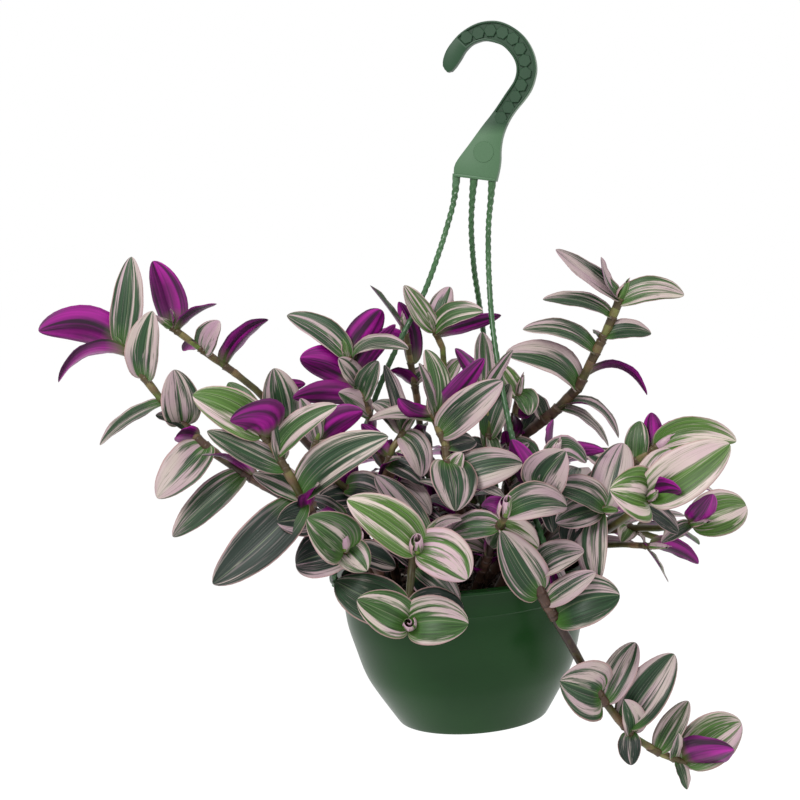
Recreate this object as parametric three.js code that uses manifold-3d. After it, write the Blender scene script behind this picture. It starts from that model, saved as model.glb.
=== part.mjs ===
// A tradescantia in a green plastic hanging basket: the pot with its soil, the moulded hanger with hook,
// plate and three strands, and every leafy stem as one solid. Millimetres, +Z up, +Y away from the viewer.
// The origin is the highest point inside the hook, where the basket hangs.
import * as THREE from "three";
import { mergeVertices } from "three/addons/utils/BufferGeometryUtils.js";
import Module from "manifold-3d";

const wasm = await Module();
wasm.setup();

// The front view from which the places of hook, stems and leaves were taken. There x and z are measured from
// the hook's inside top, and `seen` carries a place to its own depth y along the line of sight.
const SEEN_CENTRE = [-60.9, -251.3];
const VIEW_CENTRE = new THREE.Vector3(-59.7, 0, -247.4);
const VIEW_DISTANCE = 1200;
const VIEW_RISE = THREE.MathUtils.degToRad(5.6);
const SIGHT = new THREE.Vector3(0, Math.cos(VIEW_RISE), -Math.sin(VIEW_RISE));
const SIGHT_UP = new THREE.Vector3(0, Math.sin(VIEW_RISE), Math.cos(VIEW_RISE));
const EYE = VIEW_CENTRE.clone().addScaledVector(SIGHT, -VIEW_DISTANCE);

// Pot, measured along its own axis from the base. It hangs a little out of true.
const POT_BASE = new THREE.Vector3(-7.5, 0, -471.5);
const POT_TILT = THREE.MathUtils.degToRad(-4.55);
const POT_HEIGHT = 107;
const POT_WALL = 1.8;
const POT_SIDES = 24;
const BAND_HEIGHT = 88;
const LEDGE_RADIUS = 94;
const LEDGE_THICK = 2.4;
const POT_OUTSIDE = [[52, 0], [54.8, 3.5], [68.6, 26], [74.6, 38.5], [79.5, 55.7], [83.5, 71.6],
  [85.2, BAND_HEIGHT], [86.4, BAND_HEIGHT + 0.8], [87, POT_HEIGHT - LEDGE_THICK]];
const POT_INSIDE = [[51.5, POT_WALL], [66.4, 26], [72.8, 38.5], [81.7, 71.6], [85.2, POT_HEIGHT]];
const DRAIN_COUNT = 8;
const DRAIN_RADIUS = 4;
const DRAIN_CIRCLE = 31;

// Soil and the holes that the stems stand in.
const FIT_GAP = 0.3;
const SOIL_HEIGHT = 95;
const SOIL_RADIUS = 83.6;
const HOLE_DEPTH = 24;
const HOLE_SIDES = 5;

// Hanger.
const HOOK_THICK = 7;
const HOOK_TURN = THREE.MathUtils.degToRad(-15);
const PAD_RADIUS = 4.3;
const PAD_PROUD = 0.5;
const PAD_COUNT = 12;
const STRAND_RADIUS = 2;
const SOCKET_RADIUS = 2.7;
const PEG_RADIUS = 1.5;
const PEG_CIRCLE = 90.4;
const PEG_HOLE_RADIUS = 2;
const BUTTON_RADIUS = 2.9;
const BUTTON_THICK = 2.2;
const STRAND_SIDES = 5;

// Leaves and stems.
const BLADE_THICK = 1.6;
const BLADE_CUP = 0.2;
const KEEP_CLEAR = 0.6;
const STEM_SIDES = 4;
const LONG_SPAN = 32;
// Places along a blade that get a row of points, for leaves up to each length, and the place from which
// leaves of one stem stand clear of each other.
const BLADE_ROWS = [[18, [0.42]], [46, [0.26, 0.68]], [Infinity, [0.17, 0.46, 0.78]]];
const FREE_FROM = 0.2;

// Leafy stems read off the front view. Each row is: name, place of the root in the soil [right, back],
// radius at foot and tip, the route [x, z, depth] and the leaves [x and z where the leaf leaves the stem,
// x and z of its tip, width, turn, depth from stem to tip, arch, bow]. Turn 0 shows the upper face to the
// viewer, 90 has it facing up and 180 shows the underside. Arch bulges the upper face, bow lifts the middle.
const SHOOTS = [
  ["shoot_front_centre", [-20, -50], [3.6, 2.6],
    [[-42, -348, -92], [-46, -351, -118], [-48.5, -357, -150]],
    [[-57, -357, -98, -321, 30, 20, -12, 5, 3], [-57, -358, -14, -377, 32, 25, -6, 5, 4],
      [-43, -343, -78, -304, 20, 20, 22, 4, 0], [-44, -346, 1, -357, 24, 35, 20, 5, 6]]],
  ["shoot_front_low", [-34, -60], [3.4, 2.4],
    [[-51, -352, -92], [-53, -372, -108], [-55, -395, -114], [-55, -409, -124]],
    [[-56, -408, -91, -391, 29, 20, -12, 4, 0], [-53, -409, -13, -408, 32, 20, -8, 4, 2],
      [-50, -402, -16, -398, 25, 35, 14, 3, 3], [-60, -400, -106, -378, 33, 25, 14, 5, -3],
      [-50, -384, -74, -381, 26, 45, 10, 3, 0], [-24, -372, -30, -393, 18, 30, -2, 3, 0],
      [-20, -366, -15, -404, 21, 20, 0, 3, 3]]],
  ["shoot_right_trailing", [21, -60], [4.2, 2.2],
    [[27, -353, -80], [33, -357, -96], [37, -386, -104], [48, -404, -100], [59, -423, -94], [79, -458, -86],
      [104, -488, -78], [120, -498, -74], [138, -505, -70]],
    [[36, -387, 10, -343, 30, 20, -16, 5, -3], [52, -400, 93, -388, 36, 25, -6, 6, 3],
      [41, -371, 68, -357, 22, 30, -6, 4, 3], [52, -387, 76, -372, 17, 30, -8, 3, 0],
      [52, -397, 44, -370, 13, 115, -8, 2, 0], [79, -457, 51, -448, 40, 20, -18, 5, 0],
      [84, -462, 104, -421, 22, 20, 14, 4, 0], [96, -479, 131, -429, 30, 20, 2, 5, 0],
      [100, -485, 96, -461, 18, 20, -14, 3, 2], [99, -485, 101, -507, 16, 20, -8, 2, 0],
      [120, -497, 141, -462, 18, 25, 8, 3, 0], [130, -502, 131, -479, 9, 20, -10, 1, 0],
      [133, -503, 140, -524, 10, 30, -8, 1, 0], [138, -506, 173, -496, 31, 160, -22, -4, 3],
      [138, -505, 178, -477, 34, 15, 10, 5, 3]]],
  ["shoot_left_whorl", [-50, -50], [3.4, 2.4],
    [[-84, -357, -88], [-96, -357, -108], [-99.5, -356, -132]],
    [[-101, -352, -126, -334, 32, 15, -22, 5, 2], [-99, -358, -84, -371, 22, 20, -12, 3, 0],
      [-97, -352, -88, -345, 14, 30, -8, 2, 0], [-95, -360, -64, -368, 20, 40, 12, 3, 0],
      [-95, -360, -134, -366, 34, 30, 8, 5, 0]]],
  ["shoot_left_front", [-58, -28], [4, 2.6],
    [[-92, -336, -74], [-121, -334, -100], [-134.8, -310, -106], [-150.5, -284, -110], [-159, -273, -112]],
    [[-153, -279, -180, -266, 30, 165, -26, -5, 12], [-157, -276, -206, -248, 28, 20, -4, 4, 3],
      [-155, -272, -181, -239, 18, 20, 14, 3, 0], [-146, -289, -105, -255, 18, 25, -10, 4, 4],
      [-141, -292, -149, -268, 12, 30, -5, 2, 0], [-143, -300, -196, -273, 19, 30, -16, 4, -2],
      [-129, -317, -69, -277, 28, 25, -20, 5, 5], [-130, -322, -164, -303, 15, 35, 8, 3, 0],
      [-134, -324, -192, -380, 33, 25, -16, 5, -4], [-124, -338, -147, -337, 24, 20, -16, 3, 0],
      [-122, -342, -146, -357, 18, 60, -2, 2, 0]]],
  ["shoot_right_whorl_low", [6, -56], [3.4, 2.4],
    [[4, -350, -88], [9, -340, -108], [12.5, -332, -132]],
    [[13, -341, 37, -357, 20, 25, -8, 3, 0], [11, -341, -26, -345, 20, 30, 14, 3, 2],
      [11, -340, 3, -357, 14, 30, 3, 2, 0], [14, -330, 56, -326, 25, 30, 22, 4, 5],
      [9, -329, -4, -325, 14, 150, -6, 2, 2]]],
  ["shoot_right_whorl", [42, -28], [3.8, 2.6],
    [[62, -352, -56], [84, -342, -86], [104, -328, -112], [113, -320, -130]],
    [[116, -320, 170, -282, 33, 15, -10, 5, 0], [111, -320, 86, -314, 36, 25, -20, 6, 0],
      [116, -320, 135, -314, 16, 165, -14, 2, 2], [108, -318, 129, -286, 20, 25, 20, 3, 3],
      [106, -324, 134, -344, 18, 45, 10, 3, 0]]],
  ["shoot_centre", [-12, -26], [3.8, 2.4],
    [[-16, -345, -48], [-23, -318, -78], [-26, -304, -88], [-28, -294, -88], [-29.4, -281, -84],
      [-34, -271, -82], [-37, -261, -82]],
    [[-27, -294, -22, -329, 32, 20, -20, 5, 0], [-28, -273, 11, -238, 25, 20, -16, 5, 0],
      [-24, -310, 25, -296, 28, 25, -6, 4, 3], [-26, -303, -17, -289, 13, 20, -8, 2, 0],
      [-34, -262, -43, -216, 19, 25, 16, 4, 3], [-33, -260, -48, -224, 14, 60, -2, 3, -2],
      [-31, -260, -2, -222, 15, 168, -5, 3, -2], [-36, -261, -62, -250, 12, 160, -8, 2, -5],
      [-36, -267, -83, -268, 15, 55, 6, 3, 3], [-27, -285, -8, -280, 18, 45, 12, 2, 0]]],
  ["shoot_right_round", [10, -38], [3.6, 2.4],
    [[24, -345, -64], [30, -325, -84], [41, -308, -100], [46, -293, -104]],
    [[40, -314, 55, -287, 31, 15, -18, 5, 2], [42, -300, 71, -297, 18, 45, -10, 5, 9],
      [46, -290, 49, -268, 12, 120, 4, 1, 0], [46, -291, 83, -288, 12, 160, 8, 2, 2],
      [38, -318, 17, -279, 18, 165, 12, 2, 0], [40, -318, 46, -344, 18, 35, -6, 3, 0]]],
  ["shoot_right_inner", [26, -40], [3.6, 2.2],
    [[50, -338, -66], [70, -328, -82], [82, -328, -96]],
    [[85, -332, 46, -313, 22, 35, -12, 4, 3], [82, -330, 97, -283, 28, 20, 4, 4, 0],
      [78, -340, 48, -337, 22, 30, -8, 3, 0], [78, -344, 78, -381, 22, 20, -16, 4, 3],
      [74, -346, 54, -358, 18, 40, -6, 3, 0]]],
  ["shoot_right_reaching", [38, -4], [3.4, 2.2],
    [[64, -346, -14], [86, -342, -30], [98, -341, -46], [120, -341, -68], [143, -338, -86]],
    [[143, -338, 158, -317, 19, 165, -22, -4, 0], [148, -338, 184, -327, 31, 20, -2, 5, 0],
      [144, -338, 122, -351, 11, 40, -10, 2, 0], [100, -340, 95, -352, 14, 25, -18, 2, 0]]],
  ["shoot_right_lower", [54, -10], [3, 1.8],
    [[66, -354, -36], [80, -353, -52], [95, -352.5, -68], [114, -353.5, -82]],
    [[114, -353, 148, -366, 14, 150, -4, 2, 3], [110, -353, 127, -379, 10, 80, -8, 1, 0],
      [110, -353, 106, -345, 8, 80, -8, 1, 0]]],
  ["shoot_far_left", [-64, -8], [4, 2.4],
    [[-86, -348, -30], [-131, -325, -50], [-171, -302, -48], [-201, -280, -42], [-228, -251, -34],
      [-255, -215, -26]],
    [[-257, -213, -314, -203, 27, 172, -8, 5, 9], [-256, -212, -249, -151, 25, 20, 6, 4, -3],
      [-250, -221, -300, -239, 20, 118, -16, 7, 6], [-239, -236, -234, -189, 26, 20, -12, 5, 0],
      [-240, -232, -247, -203, 12, 60, 8, 2, 0], [-223, -252, -271, -283, 22, 65, -12, 4, 0],
      [-211, -266, -219, -230, 27, 15, -12, 5, 0], [-210, -273, -232, -262, 16, 60, -5, 2, 0],
      [-202, -279, -218, -277, 16, 150, -12, 2, 0], [-196, -283, -231, -320, 31, 30, -22, 5, -3],
      [-170, -303, -220, -347, 23, 25, -10, 4, 0]]],
  ["shoot_upper_left", [-52, 6], [3.6, 2.2],
    [[-74, -340, 8], [-122, -286, 0], [-162, -244, -4], [-190, -223, -6], [-220, -201, -8]],
    [[-223, -198, -234, -154, 24, 175, 5, 4, 2], [-220, -200, -221, -187, 10, 90, 5, 1, 0],
      [-217, -204, -189, -184, 18, 108, -5, 3, 0], [-198, -217, -187, -196, 20, 25, -14, 4, 0],
      [-200, -215, -213, -217, 16, 120, 5, 2, 0], [-183, -228, -153, -195, 20, 125, -3, 3, 2],
      [-143, -266, -149, -229, 28, 10, -14, 8, 0], [-155, -250, -127, -240, 12, 165, 3, 1, 2]]],
  ["shoot_left_inner", [-46, -12], [3.2, 2],
    [[-74, -336, -40], [-108, -306, -66], [-122, -288, -68], [-118, -274, -66]],
    [[-121, -282, -87, -259, 20, 170, -4, 4, 3], [-121, -280, -130, -249, 16, 30, 8, 2, 0],
      [-120, -290, -103, -283, 15, 30, -4, 2, 0], [-100, -315, -70, -322, 24, 40, -8, 3, 2],
      [-95, -322, -118, -333, 22, 45, -8, 3, 0]]],
  ["shoot_centre_left", [-34, -30], [3.4, 2],
    [[-60, -338, -46], [-72, -303, -62], [-66, -285, -64], [-58, -273, -62]],
    [[-60, -276, -46, -305, 20, 15, -12, 5, 4], [-70, -297, -44, -311, 16, 35, -10, 3, 2],
      [-60, -275, -80, -250, 22, 40, -6, 4, 3], [-59, -274, -72, -234, 14, 40, 8, 2, 0],
      [-72, -290, -88, -268, 12, 165, 0, 1, 0], [-68, -312, -40, -330, 22, 35, -6, 3, 2]]],
  ["shoot_upper_centre_left", [-28, 4], [3.8, 2.2],
    [[-50, -335, -16], [-74, -290, -28], [-84, -257, -32], [-92, -237, -32], [-97, -222, -32]],
    [[-99, -218, -140, -192, 20, 30, 8, 4, 3], [-97, -222, -74, -188, 22, 172, -6, 5, 0],
      [-93, -238, -131, -222, 25, 175, -12, 3, 3], [-92, -240, -104, -222, 16, 35, -10, 2, 0],
      [-97, -226, -55, -215, 18, 60, -8, 4, 6], [-86, -250, -76, -224, 18, 30, -10, 3, 0],
      [-92, -236, -64, -198, 14, 150, 10, 2, 0], [-87, -252, -136, -250, 18, 165, -4, 3, 3],
      [-84, -262, -104, -246, 18, 40, -8, 3, 0]]],
  ["shoot_centre_right", [0, -8], [3.4, 2],
    [[-4, -340, -26], [0, -305, -34], [1, -284, -34], [2, -268, -32], [-2, -246, -28]],
    [[2, -278, 16, -240, 20, 30, 4, 3, 0], [-2, -246, -3, -204, 18, 20, 8, 3, 0],
      [-1, -250, 18, -216, 14, 60, -12, 3, -2], [2, -276, 9, -296, 10, 20, -8, 1, 0],
      [-2, -248, -22, -216, 14, 150, 6, 2, 0], [0, -290, -24, -284, 18, 40, 6, 3, 0]]],
  ["shoot_behind_strand", [17, -14], [3.2, 2],
    [[12, -338, -20], [15, -300, -24], [17, -272, -24], [22, -248, -22]],
    [[22, -250, 8, -226, 16, 30, -4, 2, 0], [22, -244, 29, -262, 17, 20, -10, 3, 2],
      [19, -262, 31, -261, 12, 160, -4, 1, 1], [16, -286, 36, -300, 20, 40, -6, 3, 2]]],
  ["shoot_upper_centre", [-20, 24], [3.4, 2],
    [[-30, -330, 14], [-44, -288, 12], [-49, -250, 10], [-53, -228, 6], [-57, -205, 2]],
    [[-57, -206, -82, -171, 14, 80, 4, 3, -2], [-53, -226, -62, -183, 15, 165, -8, 3, 3],
      [-50, -243, -69, -231, 14, 130, -8, 2, 1], [-55, -214, -80, -208, 16, 150, 4, 2, 2],
      [-50, -240, -38, -228, 14, 40, 8, 2, 0]]],
  ["shoot_top_centre", [-10, 9], [3.4, 2],
    [[-14, -330, 0], [-24, -288, 0], [-29, -245, 0], [-31, -215, -2], [-37, -202, -6]],
    [[-38, -203, -58, -171, 17, 25, -8, 3, -2], [-36, -203, -26, -172, 18, 25, 8, 3, 0],
      [-36, -203, -24, -179, 14, 170, -6, 2, 0], [-36, -203, -3, -189, 19, 40, -10, 4, 4],
      [-34, -205, 10, -192, 14, 150, 6, 3, -2], [-29, -240, -18, -222, 14, 40, 8, 2, 0]]],
  ["shoot_upper_right", [12, 10], [4.6, 2.8],
    [[12, -335, 8], [16, -298, 8], [26, -276, 4], [47.6, -259, -2], [64.4, -242, -6], [76.3, -217.7, -10],
      [83.3, -203.7, -12], [93, -181, -14]],
    [[93, -181, 48, -146, 20, 45, -12, 3, -2], [93, -180, 79, -151, 14, 60, 0, 2, -5],
      [93, -184, 138, -178, 20, 30, -6, 4, 5], [88, -194, 39, -181, 17, 50, -4, 3, 3],
      [83, -207, 115, -205, 16, 35, -4, 3, 2], [80, -211, 74, -202, 10, 60, 3, 1, 0],
      [76, -219, 25, -202, 18, 45, -6, 4, 5], [63, -244, 13, -219, 27, 40, -12, 7, 6],
      [68, -238, 112, -248, 17, 108, -4, 5, 9], [50, -258, 92, -278, 16, 70, -12, 5, 8],
      [50, -259, 85, -284, 13, 60, 4, 3, 4], [40, -266, 31, -246, 14, 30, 8, 2, 0]]],
  ["shoot_right_back", [31, 14], [3.4, 2.2],
    [[52, -335, -6], [82, -308, -22], [104, -294, -34], [119, -284, -38]],
    [[105, -294, 107, -266, 17, 20, 6, 3, 0], [116, -286, 115, -260, 15, 165, 6, 2, 0],
      [119, -285, 149, -269, 16, 165, -2, 3, 2], [119, -285, 171, -278, 23, 30, 12, 4, 6],
      [92, -302, 70, -288, 20, 40, 4, 3, 0], [96, -300, 128, -302, 22, 35, 6, 3, 3]]],
];

// Leafy stems at the back, which the front view hides. Each row is: name, bearing from the right towards
// the back in degrees, reach from the pot's axis, rise of the crown over the rim and of the tip over it.
const BACK_SHOOTS = [
  ["shoot_back_1", 8, 128, 30, 12],
  ["shoot_back_2", 26, 150, 46, 40],
  ["shoot_back_3", 44, 116, 30, -4],
  ["shoot_back_4", 58, 152, 50, 30],
  ["shoot_back_5", 90, 122, 28, -62],
  ["shoot_back_6", 107, 158, 54, 46],
  ["shoot_back_7", 126, 118, 30, -4],
  ["shoot_back_8", 150, 138, 42, 6],
];
const BACK_STEP = 22;
const BACK_SEED = 4127;

// Older leaves low on the front stems, which fill the heart of the plant by the same rule as at the back.
const HEART_STEP = 32;
const HEART_RISE = [8, 70];
const HEART_SEED = 911;

// Ways in which a leaf in another's way is bent: how far its tip swings along its two free directions, how
// far it is twisted, and how far it is cut down if nothing else helps.
const SWINGS = [0, -6, 6, -12, 12, -18, 18, -24, 24, -32, 32];
const SHIFTS = [0, 6, -6, 12, -12];
const TWISTS = [0, 16, -16];
const SHRINKS = [1, 0.85, 0.7];

const UP = new THREE.Vector3(0, 0, 1);
const AWAY = new THREE.Vector3(0, 1, 0);
const TO_VIEWER = new THREE.Vector3(0, -1, 0);

function seen(x, z, depth) {
  const right = x - SEEN_CENTRE[0];
  const up = z - SEEN_CENTRE[1];
  const ray = SIGHT.clone().multiplyScalar(VIEW_DISTANCE).addScaledVector(SIGHT_UP, up);
  ray.x += right;
  return EYE.clone().addScaledVector(ray, (depth - EYE.y) / ray.y);
}

function asSeen(point) {
  const ray = point.clone().sub(EYE);
  const scale = VIEW_DISTANCE / ray.dot(SIGHT);
  return [SEEN_CENTRE[0] + ray.x * scale, SEEN_CENTRE[1] + ray.dot(SIGHT_UP) * scale];
}

const potMatrix = new THREE.Matrix4().makeRotationY(POT_TILT).setPosition(POT_BASE);

function inPot(right, back, height) {
  return new THREE.Vector3(right, back, height).applyMatrix4(potMatrix);
}

// A Catmull-Rom curve through the points, in two pieces where a span is long.
function smooth(points) {
  const at = (i) => {
    if (i < 0) return points[0].clone().multiplyScalar(2).sub(points[1]);
    if (i >= points.length) return points.at(-1).clone().multiplyScalar(2).sub(points.at(-2));
    return points[i];
  };
  const out = [];
  for (let i = 0; i < points.length - 1; i++) {
    const [a, b, c, d] = [at(i - 1), at(i), at(i + 1), at(i + 2)];
    const steps = b.distanceTo(c) > LONG_SPAN ? 2 : 1;
    for (let k = 0; k < steps; k++) {
      const t = k / steps;
      out.push(b.clone().multiplyScalar(2)
        .addScaledVector(c.clone().sub(a), t)
        .addScaledVector(a.clone().multiplyScalar(2).addScaledVector(b, -5).addScaledVector(c, 4).sub(d), t * t)
        .addScaledVector(b.clone().sub(c).multiplyScalar(3).add(d).sub(a), t * t * t)
        .multiplyScalar(0.5));
    }
  }
  out.push(points.at(-1).clone());
  return out;
}

// A closed round bar through the points with a radius at each, its rings carried along without twisting.
function bar(points, radii, sides) {
  const vertices = [];
  const faces = [];
  let side = null;
  points.forEach((point, i) => {
    const ahead = points[Math.min(i + 1, points.length - 1)].clone().sub(points[Math.max(i - 1, 0)]).normalize();
    if (!side) side = new THREE.Vector3(1, 0, 0).addScaledVector(ahead, -ahead.x);
    side = side.addScaledVector(ahead, -side.dot(ahead)).normalize();
    const across = ahead.clone().cross(side);
    for (let k = 0; k < sides; k++) {
      const angle = 2 * Math.PI * k / sides;
      vertices.push(point.clone().addScaledVector(side, radii[i] * Math.cos(angle))
        .addScaledVector(across, radii[i] * Math.sin(angle)));
    }
  });
  for (let i = 0; i < points.length - 1; i++) {
    for (let k = 0; k < sides; k++) {
      const next = (k + 1) % sides;
      const [a, b] = [i * sides + k, i * sides + next];
      faces.push([a, b, b + sides], [a, b + sides, a + sides]);
    }
  }
  const last = (points.length - 1) * sides;
  for (let k = 1; k < sides - 1; k++) {
    faces.push([0, k + 1, k], [last, last + k, last + k + 1]);
  }
  return { vertices, faces };
}

// Half width of a blade along it: a clasping foot, the widest part near the middle and a drawn-out point.
function bladeOutline(t) {
  return Math.pow(t, 0.5) * Math.pow(1 - t, 0.69) / 0.445 + 0.1 * Math.pow(1 - t, 8);
}

// A thin curved blade on a bent midrib, from `start` along it to the tip. It is thickest along the midrib,
// thin at the edges, and both faces are split into triangles the same way.
function blade(leaf, thick, margin, start) {
  const { root, tip, face, side, width, arch, bow } = leaf;
  const chord = tip.clone().sub(root);
  const bend = root.clone().addScaledVector(chord, 0.45).addScaledVector(face, 2 * arch)
    .addScaledVector(side, 2 * bow);
  const rows = BLADE_ROWS.find(([most]) => chord.length() <= most)[1].filter((t) => t > start);
  const place = (t, across, above) => {
    const rib = root.clone().multiplyScalar((1 - t) * (1 - t)).addScaledVector(bend, 2 * t * (1 - t))
      .addScaledVector(tip, t * t);
    const ahead = bend.clone().sub(root).multiplyScalar(1 - t).addScaledVector(tip.clone().sub(bend), t).normalize();
    const over = face.clone().addScaledVector(ahead, -face.dot(ahead)).normalize();
    const out = ahead.clone().cross(over);
    const half = width / 2 * bladeOutline(t);
    const lift = BLADE_CUP * half * Math.abs(across) * (1 + 1.2 * Math.pow(1 - t, 3));
    return rib.addScaledVector(out, across * (half + margin)).addScaledVector(over, lift + above);
  };
  const vertices = [place(start, 0, 0)];
  for (const t of rows) {
    vertices.push(place(t, -1, 0), place(t, 0, thick / 2), place(t, 0, -thick / 2), place(t, 1, 0));
  }
  vertices.push(place(1, 0, 0));
  const faces = [[0, 2, 1], [0, 4, 2], [0, 1, 3], [0, 3, 4]];
  const last = 4 * rows.length - 3;
  for (let a = 1; a < last; a += 4) {
    const [left, top, low, right] = [a, a + 1, a + 2, a + 3];
    faces.push([left, top, top + 4], [left, top + 4, left + 4], [top, right, top + 4], [right, right + 4, top + 4]);
    faces.push([left, low + 4, low], [left, left + 4, low + 4], [low, low + 4, right], [right, low + 4, right + 4]);
  }
  faces.push([last, last + 1, last + 4], [last + 1, last + 3, last + 4]);
  faces.push([last, last + 4, last + 2], [last + 2, last + 4, last + 3]);
  return { vertices, faces };
}

// A small generator of draws between 0 and 1, the same every time.
function draws(seed) {
  let state = seed;
  return () => {
    state = (state * 16807) % 2147483647;
    return state / 2147483647;
  };
}

function boxOf(vertices) {
  return new THREE.Box3().setFromPoints(vertices);
}

function segmentMeets(p, q, a, b, c) {
  const along = q.clone().sub(p);
  const ab = b.clone().sub(a);
  const ac = c.clone().sub(a);
  const h = along.clone().cross(ac);
  const det = ab.dot(h);
  if (Math.abs(det) < 1e-12) return false;
  const s = p.clone().sub(a);
  const u = s.dot(h) / det;
  if (u < 0 || u > 1) return false;
  const g = s.cross(ab);
  const v = along.dot(g) / det;
  if (v < 0 || u + v > 1) return false;
  const t = ac.dot(g) / det;
  return t >= 0 && t <= 1;
}

// Whether the surfaces of two closed solids cross.
function cross(one, two) {
  if (!one.box.intersectsBox(two.box)) return false;
  for (const f of one.faces) {
    const [a, b, c] = f.map((i) => one.vertices[i]);
    const small = boxOf([a, b, c]);
    if (!small.intersectsBox(two.box)) continue;
    for (let k = 0; k < two.faces.length; k++) {
      if (!small.intersectsBox(two.boxes[k])) continue;
      const [d, e, g] = two.faces[k].map((i) => two.vertices[i]);
      if (segmentMeets(a, b, d, e, g) || segmentMeets(b, c, d, e, g) || segmentMeets(c, a, d, e, g)) return true;
      if (segmentMeets(d, e, a, b, c) || segmentMeets(e, g, a, b, c) || segmentMeets(g, d, a, b, c)) return true;
    }
  }
  return false;
}

function boxed(mesh) {
  mesh.box = boxOf(mesh.vertices);
  mesh.boxes = mesh.faces.map((f) => boxOf(f.map((i) => mesh.vertices[i])));
  return mesh;
}

// The upper face's direction for a leaf along `chord`, turned from the viewer towards its upper side.
function facing(chord, turn) {
  const ahead = chord.clone().normalize();
  const front = TO_VIEWER.clone().addScaledVector(ahead, -TO_VIEWER.dot(ahead)).normalize();
  const upper = ahead.clone().cross(front);
  if (upper.z < 0) upper.negate();
  const angle = THREE.MathUtils.degToRad(turn);
  return [front.clone().multiplyScalar(Math.cos(angle)).addScaledVector(upper, Math.sin(angle)), upper];
}

// The stem of a shoot: straight in its hole in the soil, then along its route, ending in a rolled young leaf.
function stemOf(root, route, radii) {
  const foot = inPot(root[0], root[1], SOIL_HEIGHT - HOLE_DEPTH + FIT_GAP);
  const collar = inPot(root[0], root[1], SOIL_HEIGHT + 3);
  const line = smooth([collar, ...route]);
  const count = line.length;
  const thick = line.map((p, i) => radii[0] + (radii[1] - radii[0]) * i / (count - 1));
  const ahead = line.at(-1).clone().sub(line.at(-2)).normalize();
  const bud = [line.at(-1).clone().addScaledVector(ahead, 5), line.at(-1).clone().addScaledVector(ahead, 12)];
  const points = [foot, ...line, ...bud];
  return { line, points, radii: [radii[0], ...thick, radii[1] * 1.15, 0.7], foot: radii[0], root };
}

const rimCentre = inPot(0, 0, POT_HEIGHT);

// Places at every step along a stem, from its tip down, each with the way the stem grows there.
function placesAlong(line, step) {
  const places = [];
  let left = 0;
  for (let i = line.length - 1; i > 0; i--) {
    const length = line[i].distanceTo(line[i - 1]);
    const ahead = line[i].clone().sub(line[i - 1]).normalize();
    while (left < length) {
      places.push([line[i].clone().addScaledVector(ahead, -left), ahead]);
      left += step;
    }
    left -= length;
  }
  return places;
}

// A leaf set by rule: level, to one side of the stem and a little forward, facing up and outward.
function grown(start, ahead, hand, length, draw) {
  const outward = start.clone().sub(rimCentre).setZ(0).normalize();
  const heading = ahead.clone().cross(UP).normalize().multiplyScalar(hand)
    .addScaledVector(ahead, 0.5 + 0.5 * draw()).addScaledVector(UP, 0.3 * draw()).normalize();
  const over = UP.clone().addScaledVector(outward, 0.7 * draw());
  return { root: start, tip: start.clone().addScaledVector(heading, length), width: length * (0.4 + 0.1 * draw()),
    face: over.addScaledVector(heading, -over.dot(heading)).normalize(), arch: 4 + 3 * draw(), bow: 0,
    swing: over, shift: heading.clone().cross(over) };
}

// The place on a stem that the front view shows nearest to (x, z).
function nearest(line, x, z) {
  let best = null;
  for (let i = 1; i < line.length; i++) {
    const [px, pz] = asSeen(line[i - 1]);
    const [qx, qz] = asSeen(line[i]);
    const [dx, dz] = [qx - px, qz - pz];
    const t = THREE.MathUtils.clamp(((x - px) * dx + (z - pz) * dz) / (dx * dx + dz * dz), 0, 1);
    const far = Math.hypot(px + t * dx - x, pz + t * dz - z);
    if (!best || far <= best.far) best = { far, start: line[i - 1].clone().lerp(line[i], t) };
  }
  return best.start;
}

const shoots = [];
for (const [name, root, radii, route, rows] of SHOOTS) {
  const stem = stemOf(root, route.map(([x, z, depth]) => seen(x, z, depth)), radii);
  const leaves = rows.map(([x, z, tipX, tipZ, width, turn, deep, arch, bow]) => {
    const start = nearest(stem.line, x, z);
    return { root: start, tip: seen(tipX, tipZ, start.y + deep), width, turn, arch, bow, swing: AWAY, shift: UP };
  });
  shoots.push({ name, stem, leaves });
}

const backDraw = draws(BACK_SEED);
for (const [name, bearing, reach, crown, end] of BACK_SHOOTS) {
  const angle = THREE.MathUtils.degToRad(bearing);
  const outward = new THREE.Vector3(Math.cos(angle), Math.sin(angle), 0);
  const along = (far, rise, aside) => rimCentre.clone().addScaledVector(outward, far)
    .addScaledVector(new THREE.Vector3(-outward.y, outward.x, 0), aside).setZ(rimCentre.z + rise);
  const reachIn = 46 + 12 * backDraw();
  const aside = 16 * (backDraw() - 0.5);
  const route = [along(0.55 * reach, 0.8 * crown, 0), along(0.8 * reach, crown, aside / 2),
    along(reach, (crown + end) / 2, aside), along(reach * (end < 0 ? 1 : 1.18), end, aside)];
  const stem = stemOf([outward.x * reachIn, outward.y * reachIn], route, [3.5, 2.2]);
  const leaves = [];
  placesAlong(stem.line, BACK_STEP).forEach(([start, ahead], k) => {
    if (start.z - rimCentre.z < HEART_RISE[0] && start.distanceTo(rimCentre) < LEDGE_RADIUS) return;
    leaves.push(grown(start, ahead, k % 2 ? 1 : -1, (k ? 46 : 34) + 16 * backDraw(), backDraw));
  });
  shoots.push({ name, stem, leaves });
}

const heartDraw = draws(HEART_SEED);
for (const { stem, leaves } of shoots.slice(0, SHOOTS.length)) {
  placesAlong(stem.line, HEART_STEP).forEach(([start, ahead], k) => {
    const rise = start.z - rimCentre.z;
    if (k < 2 || rise < HEART_RISE[0] || rise > HEART_RISE[1]) return;
    leaves.push(grown(start, ahead, k % 2 ? 1 : -1, 34 + 14 * heartDraw(), heartDraw));
  });
}

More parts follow.
